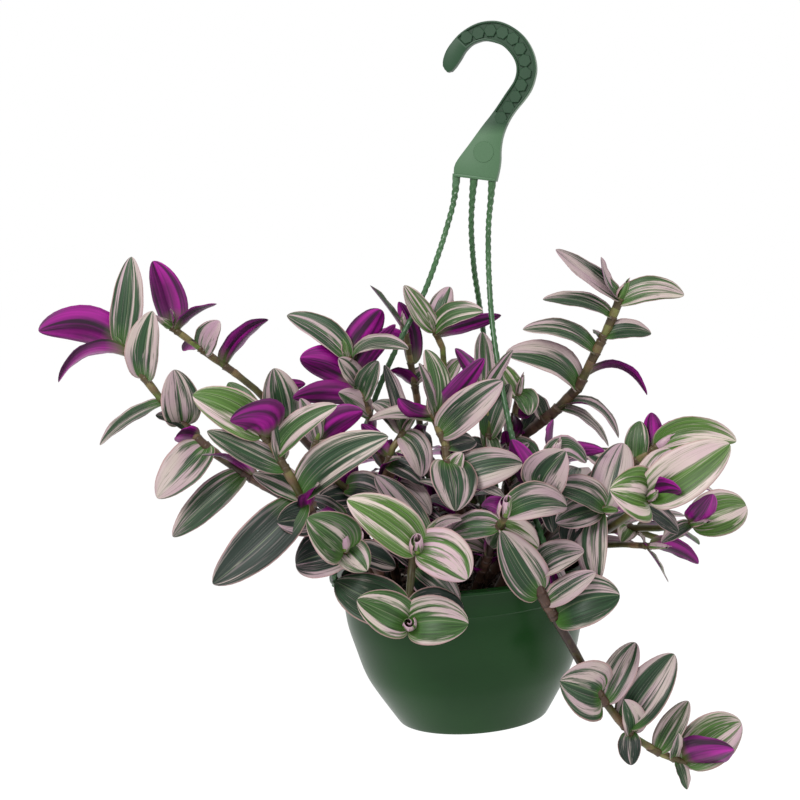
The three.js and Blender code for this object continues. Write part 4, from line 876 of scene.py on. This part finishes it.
draw = draws(BACK_SEED)
for name, bearing, reach, crown, end in BACK_SHOOTS:
    outward = Vector((*on_circle(1, bearing), 0))
    aside_way = Vector((-outward.y, outward.x, 0))
    reach_in = chance(draw, *BACK_ROOT)
    aside = 16 * (next(draw) - 0.5)
    route = []
    for far, rise, off in [(0.55 * reach, 0.8 * crown, 0), (0.8 * reach, crown, aside / 2),
                           (reach, (crown + end) / 2, aside),
                           (reach * (1 if end < 0 else 1.18), end, aside)]:
        point = rim_centre + far * outward + off * aside_way
        point.z = rim_centre.z + rise
        route.append(point)
    shoot = Shoot(name, (outward.x * reach_in, outward.y * reach_in), route, BACK_RADII)
    for k, (start, ahead) in enumerate(places_along(shoot.line, BACK_STEP)):
        if start.z - rim_centre.z < HEART_RISE[0] and (start - rim_centre).length < LEDGE_RADIUS:
            continue
        length = chance(draw, *(BACK_LEAF if k else BACK_TIP_LEAF))
        shoot.leaves.append(grown(start, ahead, k, length, draw, "bgpswdsdw"[min(k, 8)]))
    shoots.append(shoot)

# Heart leaves: half take the dark old tone, which is partly their age and partly painted shade inside the
# crown.
draw = draws(HEART_SEED)
for shoot in shoots[:len(SHOOTS)]:
    for k, (start, ahead) in enumerate(places_along(shoot.line, HEART_STEP)):
        rise = start.z - rim_centre.z
        if k < 2 or rise < HEART_RISE[0] or rise > HEART_RISE[1]:
            continue
        shoot.leaves.append(grown(start, ahead, k, chance(draw, *HEART_LEAF), draw, "dswd"[k % 4]))

# What the leaves have to clear: the outside of the pot, 1 mm out, and the strands.
profile = [(53, -1)] + [(r + 1, h) for r, h in
                        [*POT_OUTSIDE[:-1], (85.2, BAND_HEIGHT), (86.4, BAND_HEIGHT + 0.8),
                         (87, POT_HEIGHT - LEDGE_THICK)]]
profile += [(LEDGE_RADIUS + 1, POT_HEIGHT - 4), (LEDGE_RADIUS + 1, POT_HEIGHT + 1)]
fixed = [coarse_bar([in_pot(0, 0, h) for _, h in profile], [r for r, _ in profile], 24)]
fixed += [coarse_bar(line, [STRAND_RADIUS + 1] * len(line), STEM_SIDES) for line in strand_lines]

# Leaves are set in order, and each takes the first way of bending that clears everything before it.
placed = []


def settle(shoot, leaf):
    for shrink, twist, shift, swing in itertools.product(SHRINKS, TWISTS, SHIFTS, SWINGS):
        tried = leaf.bent(swing, shift, twist, shrink)
        whole = coarse_blade(tried, 0)
        if any(whole.overlap(one) for one in fixed):
            continue
        if any(whole.overlap(other.keep_out) for other in shoots if other is not shoot):
            continue
        if any(owner is not shoot and whole.overlap(one) for owner, one, _ in placed):
            continue
        outer = coarse_blade(tried, FREE_FROM)
        if any(owner is shoot and outer.overlap(one) for owner, _, one in placed):
            continue
        placed.append((shoot, whole, outer))
        shoot.blades.append(tried)
        return


for shoot in shoots:
    for leaf in shoot.leaves:
        settle(shoot, leaf)

# Small leaves fill the crown between the others. They take old tones, half of them the darkest, partly for
# their age and partly as painted shade inside the crown.
FILL_STEP = 10
FILL_RISE = (2, 94)
FILL_REACH = 80
FILL_LEAF = (20, 14)
FILL_SEED = 353
draw = draws(FILL_SEED)
for shoot in shoots:
    for k, (start, ahead) in enumerate(places_along(shoot.line, FILL_STEP)):
        from_rim = start - rim_centre
        length = chance(draw, *FILL_LEAF)
        if k < 3 or not FILL_RISE[0] < from_rim.z < FILL_RISE[1] or from_rim.xy.length > FILL_REACH:
            continue
        settle(shoot, grown(start, ahead, k, length, draw, "dtodsd"[k % 6]))


# A flat leaf with a material above and one below: x across from -1 to 1, y from foot to tip, z through it.
# Its points may be crowded towards foot and tip.
def flat_leaf(name, across, along, crowded, under):
    sheet = bmesh.new()
    bmesh.ops.create_grid(sheet, x_segments=across, y_segments=along, size=1)
    for vertex in sheet.verts:
        far = 0.5 + 0.5 * vertex.co.y
        vertex.co.y = 0.5 - 0.5 * math.cos(math.pi * far) if crowded else far
    uv = sheet.loops.layers.uv.new("UVMap")
    for face in sheet.faces:
        for loop in face.loops:
            loop[uv].uv = (0.5 + 0.5 * loop.vert.co.x, loop.vert.co.y)
    thicken(sheet, list(sheet.faces), (0, 0, 1), True)
    bmesh.ops.recalc_face_normals(sheet, faces=sheet.faces)
    for face in sheet.faces:
        face.material_index = 0 if face.normal.z > 0.5 else under
    return to_mesh(name, sheet)


# A grown leaf is the first, bent to its place. A young one is the second, rolled up into a slender cone.
# In some whorls it is already opening into a spiral.
LEAF_ACROSS = 10
LEAF_ALONG = 18
ROLL_AROUND = 40
ROLL_ALONG = 8
ROLL_TURNS = 1.5
OPENING = ("front_centre", "front_low", "left_whorl", "right_whorl_low")
OPENING_RADIUS = 3.1
blank_leaf = flat_leaf("blank_leaf", LEAF_ACROSS, LEAF_ALONG, True, 1)
blank_roll = flat_leaf("blank_roll", ROLL_AROUND, ROLL_ALONG, False, 0)

# The upper face of a leaf: waxy and a little shiny, with a few broad lengthwise bands, green and cream to
# pink, whose ends break up into fine streaks. The bands follow the veins, and each leaf has its own.
upper_face, tree, shader = new_material("variegated_leaf_blade")


# Noise drawn out along the leaf: so many times finer across than along, and different on each leaf.
def drawn_out(tree, across, along, apart, detail):
    uv = add(tree, "TexCoord").outputs["UV"]
    seed = add(tree, "Attribute", attribute_name="seed").outputs["Fac"]
    scaled = add(tree, "VectorMath", {0: uv, 1: (across, along, 0)}, operation="MULTIPLY")
    offset = add(tree, "VectorMath", {0: (0, 0, apart), "Scale": seed}, operation="SCALE")
    at = add(tree, "VectorMath", {0: scaled, 1: offset}, operation="ADD")
    return add(tree, "TexNoise", {"Vector": at, "Scale": 1, "Detail": detail})


parts = add(tree, "SeparateXYZ", {"Vector": add(tree, "TexCoord").outputs["UV"]}).outputs
age = add(tree, "Attribute", attribute_name="age").outputs["Fac"]
pale = add(tree, "Attribute", attribute_name="pale").outputs["Fac"]
pink = add(tree, "Attribute", attribute_name="pink").outputs["Fac"]
off = add(tree, "Math", {0: parts["X"], 1: 0.5}, operation="SUBTRACT")
away = add(tree, "Math", {0: off}, operation="ABSOLUTE")
# How much of the pale layer is there: bands, stripes and streaks, more towards the edges and the tip.
layer = 0
for part, weight in [(drawn_out(tree, 5, 0.7, 40, 0), 0.55), (drawn_out(tree, 17, 1, 23, 1), 0.34),
                     (drawn_out(tree, 75, 5, 9, 1), 0.15), (away, 0.16), (parts["Y"], 0.07)]:
    layer = add(tree, "Math", {0: part, 1: weight, 2: layer}, operation="MULTIPLY_ADD")
level = add(tree, "MapRange", {"Value": pale, "To Min": 0.75, "To Max": 0.49})
over = add(tree, "Math", {0: layer, 1: level}, operation="SUBTRACT")
half = add(tree, "MapRange", {"Value": over, "From Min": -0.056, "From Max": -0.022})
full = add(tree, "MapRange", {"Value": over, "From Min": -0.01, "From Max": 0.02})
# Green from young to old, in soft light and dark bands, and fresher at the foot.
greens = add(tree, "ValToRGB", {"Fac": age},
             stops=[(0, "#476527"), (0.35, "#324f25"), (0.7, "#233c24"), (1, "#13231a")])
shade = add(tree, "MapRange", {"Value": drawn_out(tree, 26, 1.4, 31, 2), "From Min": 0.35, "From Max": 0.65,
                               "To Min": 0.6, "To Max": 1.35})
green = add(tree, "HueSaturation", {"Color": greens, "Value": shade})
foot = add(tree, "MapRange", {"Value": parts["Y"], "From Min": 0.3, "From Max": 0.02, "To Max": 0.6})
fresh = add(tree, "Mix", {"Factor": foot, FIRST: green, SECOND: linear("#426e21")}, data_type="RGBA")
# Cream to pink, duller with age, and pale green where the layer is thin.
blush = add(tree, "MapRange", {"Value": drawn_out(tree, 2, 1.5, 13, 2), "From Min": 0.35, "From Max": 0.65,
                               "To Min": -0.25, "To Max": 0.25})
flushed = add(tree, "Math", {0: blush, 1: pink}, operation="ADD")
creamy = add(tree, "Mix", {"Factor": flushed, FIRST: linear("#beb3a6"), SECOND: linear("#ae8c9d")},
             data_type="RGBA")
dulled = add(tree, "MapRange", {"Value": age, "To Min": 1.04, "To Max": 0.68})
creams = add(tree, "HueSaturation", {"Color": creamy, "Value": dulled})
halves = add(tree, "Mix", {"Factor": 0.36, FIRST: fresh, SECOND: creams}, data_type="RGBA")
streaked = add(tree, "Mix", {"Factor": half, FIRST: fresh, SECOND: halves}, data_type="RGBA")
# Fine lines run the length of the leaf where a drawn-out noise passes its middle: pale ones on green, which
# are stronger on paler leaves, and green ones on pale.
fine = add(tree, "MapRange", {"Value": pale, "From Min": 0.2, "From Max": 0.6, "To Min": 0.2,
                              "To Max": 0.55})
lines = []
for part, narrow, strength in [(drawn_out(tree, 15, 0.6, 67, 0), 0.009, fine),
                               (drawn_out(tree, 19, 0.7, 71, 0), 0.008, 0.55)]:
    run = add(tree, "Math", {0: part, 1: 0.5}, operation="SUBTRACT")
    near = add(tree, "Math", {0: run}, operation="ABSOLUTE")
    lines.append(add(tree, "MapRange", {"Value": near, "From Min": 0.024, "From Max": narrow,
                                        "To Max": strength}))
lined = add(tree, "Mix", {"Factor": lines[0], FIRST: streaked, SECOND: creams}, data_type="RGBA")
veined = add(tree, "Mix", {"Factor": lines[1], FIRST: creams, SECOND: fresh}, data_type="RGBA")
banded = add(tree, "Mix", {"Factor": full, FIRST: lined, SECOND: veined}, data_type="RGBA")
# A thin pinkish margin and a pale midrib.
margin = add(tree, "MapRange", {"Value": away, "From Min": 0.465, "From Max": 0.485, "To Max": 0.8})
bordered = add(tree, "Mix", {"Factor": margin, FIRST: banded, SECOND: linear("#a78784")}, data_type="RGBA")
rib = add(tree, "MapRange", {"Value": away, "From Min": 0.016, "From Max": 0.006, "To Max": 0.3})
ribbed = add(tree, "Mix", {"Factor": rib, FIRST: bordered, SECOND: linear("#899672")}, data_type="RGBA")
relief = add(tree, "Bump", {"Height": drawn_out(tree, 60, 1.2, 11, 1), "Strength": 0.4, "Distance": 0.0003})
connect(shader, {"Base Color": ribbed, "Normal": relief, "Roughness": 0.42, "IOR": 1.33})

# The underside: the same skin, magenta to deep purple in soft lengthwise bands, green at the foot.
under_face, tree, shader = new_material("purple_leaf_underside")
along = add(tree, "SeparateXYZ", {"Vector": add(tree, "TexCoord").outputs["UV"]}).outputs["Y"]
purples = add(tree, "ValToRGB", {"Fac": drawn_out(tree, 7, 0.7, 40, 2)},
              stops=[(0.36, "#2a0627"), (0.48, "#66005d"), (0.64, "#8a1079")])
foot = add(tree, "MapRange", {"Value": along, "From Min": 0.3, "From Max": 0.04, "To Max": 0.85})
patch = add(tree, "MapRange", {"Value": drawn_out(tree, 2.2, 1.3, 57, 1), "From Min": 0.35,
                               "From Max": 0.65, "To Min": 0.55, "To Max": 1.3})
patched = add(tree, "HueSaturation", {"Color": purples, "Value": patch})
footed = add(tree, "Mix", {"Factor": foot, FIRST: patched, SECOND: linear("#536728")}, data_type="RGBA")
relief = add(tree, "Bump", {"Height": drawn_out(tree, 60, 1.2, 11, 1), "Strength": 0.4, "Distance": 0.0003})
connect(shader, {"Base Color": footed, "Normal": relief, "Roughness": 0.4, "IOR": 1.36})

# Stems are juicy and smooth: yellow-green when young, purplish brown when old, pinkish at the nodes.
stem_skin, tree, shader = new_material("succulent_stem")
where = add(tree, "TexCoord").outputs["Object"]
age = add(tree, "Attribute", attribute_name="age").outputs["Fac"]
node = add(tree, "Attribute", attribute_name="pale").outputs["Fac"]
mottle = add(tree, "TexNoise", {"Vector": where, "Scale": 260, "Detail": 3})
shift = add(tree, "Math", {0: mottle, 1: -0.5}, operation="ADD")
aged = add(tree, "Math", {0: shift, 1: 0.5, 2: age}, operation="MULTIPLY_ADD")
ages = add(tree, "ValToRGB", {"Fac": aged},
           stops=[(0, "#58712c"), (0.2, "#454422"), (0.5, "#2f201c"), (1, "#1c2013")])
ringed = add(tree, "Mix", {"Factor": node, FIRST: ages, SECOND: linear("#84604f")}, data_type="RGBA")
connect(shader, {"Base Color": ringed, "Roughness": 0.38, "IOR": 1.35})

STEM_SIDES_FINE = 12
STEM_STEP = 4
# The stem is a little slimmer than the coarse one, swells at its nodes, and has a pale ring round each.
SLIMMER = 0.95
NODE_SWELL = 0.2
NODE_LENGTH = 2.6
RING_PALE = 0.85
RING_LENGTH = 3.6
# How far along the stem each ring of a sheath is from the leaf's foot, and how much wider than the stem.
SHEATH_LENGTH = 8
SHEATH_RINGS = [(-SHEATH_LENGTH, 0.05), (-4.8, 0.25), (-2, 0.25), (-0.4, 0.45), (1.2, 0.8)]
# How far a leaf's edges are folded up, also where its underside is seen, and how much leaf and edge wave.
FOLD = (0.7, 0.7)
FOLD_BENEATH = 1.6
LEAF_WAVE = 0.5
EDGE_WAVE = 0.35
TIP_BLUNT = 0.07
BUD_LENGTH = 16
BUD_THICK = 0.3
BUD_AGE = 0.15
STEM_SEED = 5


# How near a place is to one of the stem's nodes, from 1 at it to 0 well away from it.
def near_node(place, nodes, reach):
    return max([math.exp(-((place - node).length / reach) ** 2) for node in nodes] + [0])


# Gives a point the values that the materials read: age, pale, pink and seed, or the first few of them.
def paint(point, layers, values):
    for layer, value in zip(layers, values):
        point[layer] = value


# Adds a flat leaf to a mesh and gives its points.
def lay_in(mesh, flat):
    before = len(mesh.verts)
    mesh.from_mesh(flat)
    mesh.verts.ensure_lookup_table()
    return mesh.verts[before:]


numbers = draws(STEM_SEED)
for shoot in shoots:
    mesh = bmesh.new()
    layers = [mesh.verts.layers.float.new(name) for name in ("age", "pale", "pink", "seed")]
    mesh.loops.layers.uv.new("UVMap")
    # Stem: a round bar thicker at its nodes, a little below each leaf, going straight down into its hole.
    fine = []
    for p, q in zip(shoot.line, shoot.line[1:]):
        count = max(1, round((q - p).length / STEM_STEP))
        fine += [p.lerp(q, k / count) for k in range(count)]
    fine.append(shoot.line[-1])
    line = [shoot.foot] + fine + [shoot.line[-1] + 5 * shoot.ahead]
    sheaths = []
    for leaf in shoot.blades:
        i = min(range(len(fine)), key=lambda n: (fine[n] - leaf.root).length_squared)
        sheaths.append((leaf.root, way_at(fine, i), shoot.radius(i, len(fine)), 1 - i / (len(fine) - 1)))
    nodes = [root - SHEATH_LENGTH * ahead for root, ahead, r, old in sheaths]
    radii = [shoot.radii[0]]
    for i, p in enumerate(fine):
        swell = near_node(p, nodes, NODE_LENGTH)
        radii.append(SLIMMER * shoot.radius(i, len(fine)) * (1 + NODE_SWELL * swell))
    radii.append(0.5 * shoot.radii[1])
    draw_bar(mesh, line, radii, STEM_SIDES_FINE)
    for v in mesh.verts:
        i = min(range(len(line)), key=lambda n: (line[n] - v.co).length_squared)
        paint(v, layers, (1 - i / (len(line) - 1), RING_PALE * near_node(v.co, nodes, RING_LENGTH)))
    # Sheaths: the foot of every leaf wraps the stem as a thin tube that opens where the blade leaves it.
    for root, ahead, r, old in sheaths:
        before = len(mesh.verts)
        tube = [root + far * ahead for far, _ in SHEATH_RINGS]
        draw_bar(mesh, tube, [r + more for _, more in SHEATH_RINGS], STEM_SIDES_FINE)
        mesh.verts.ensure_lookup_table()
        for v in mesh.verts[before:]:
            paint(v, layers, (0.3 + 0.4 * old, 0.12))
    for face in mesh.faces:
        face.material_index = 2
    # Leaves: each is a flat one bent to its place, with a thick middle and a thin wavy edge.
    for leaf in shoot.blades:
        seed = next(numbers)
        fold = FOLD_BENEATH if leaf.tone == "m" else FOLD[0] + FOLD[1] * seed
        for v in lay_in(mesh, blank_leaf):
            a, t, top = v.co
            wave = LEAF_WAVE * a * a * math.sin(7 * t + 20 * seed)
            wave += EDGE_WAVE * abs(a) ** 3 * math.sin(19 * t + 40 * seed + a)
            body = (0.5 * (1 - a * a) + 0.12) * min(1, (1 - t) * 20)
            lift = (top - 0.5) * body + wave * min(1, 6 * t, 6 * (1 - t))
            v.co = leaf.place(t, a, lift, 0, fold * abs(a) ** 1.4, TIP_BLUNT)
            paint(v, layers, (*TONES[leaf.tone], seed))
    # The young leaf at the tip: rolled tight, or opening upwards.
    seed = next(numbers)
    opening = shoot.name in OPENING
    ahead = (shoot.ahead + UP).normalized() if opening else shoot.ahead
    side = ahead.orthogonal().normalized()
    across = ahead.cross(side)
    share = 0.9 if opening else 0.5
    for v in lay_in(mesh, blank_roll):
        round_it, along, through = 0.5 + 0.5 * v.co.x, v.co.y, v.co.z
        angle = 2 * math.pi * ROLL_TURNS * round_it
        if opening:
            swell = 0.8 + 0.7 * math.sin(math.pi * (0.12 + 0.75 * along))
            r = OPENING_RADIUS * (0.2 + round_it) * swell + BUD_THICK * through
        else:
            swell = 0.65 + 1.3 * math.sin(math.pi * (0.12 + 0.84 * along))
            r = shoot.radii[1] * (0.28 + 0.5 * round_it) * swell + BUD_THICK * through
        height = BUD_LENGTH * along * (1 - 0.2 * round_it + 0.1 * math.cos(angle)) - 1
        v.co = shoot.line[-1] + height * ahead + r * (math.cos(angle) * side + math.sin(angle) * across)
        paint(v, layers, (BUD_AGE, share, 0.55 + 0.5 * share, seed))
    bmesh.ops.remove_doubles(mesh, verts=mesh.verts, dist=0.004)
    bmesh.ops.recalc_face_normals(mesh, faces=mesh.faces)
    finish_piece("leafy_stem_" + shoot.name, mesh, [upper_face, under_face, stem_skin],
                 "shoot_" + shoot.name)
bpy.data.meshes.remove(blank_leaf)
bpy.data.meshes.remove(blank_roll)

# Floor and light: a white card and a bright room, with a big soft lamp at the front left and a weaker one
# at the right.
FLOOR_LEVEL = -1.05
FLOOR_REACH = 60
floor_mesh = bmesh.new()
bmesh.ops.create_grid(floor_mesh, x_segments=1, y_segments=1, size=FLOOR_REACH,
                      matrix=Matrix.Translation((0, 0, FLOOR_LEVEL)))
floor = new_object("floor", to_mesh("floor", floor_mesh))
card, tree, shader = new_material("white_card")
connect(shader, {"Base Color": linear("#ffffff"), "Roughness": 1, "Specular IOR Level": 0})
floor.data.materials.append(card)


def lamp(name, at, size, watts):
    light = bpy.data.lights.new(name, "AREA")
    light.size = size
    light.energy = watts
    made = new_object(name, light)
    made.location = at
    made.rotation_euler = (VIEW_CENTRE * MM - Vector(at)).to_track_quat("-Z", "Y").to_euler()


lamp("key_lamp", (-0.9, -1.3, 0.95), 0.7, 26)
lamp("fill_lamp", (1.4, -0.9, 0.2), 0.8, 4)
world = bpy.data.worlds.new("room")
bpy.context.scene.world = world
world.use_nodes = True
connect(world.node_tree.nodes["Background"], {"Color": (1, 1, 1, 1), "Strength": 1})
bpy.context.scene.view_settings.view_transform = "Standard"
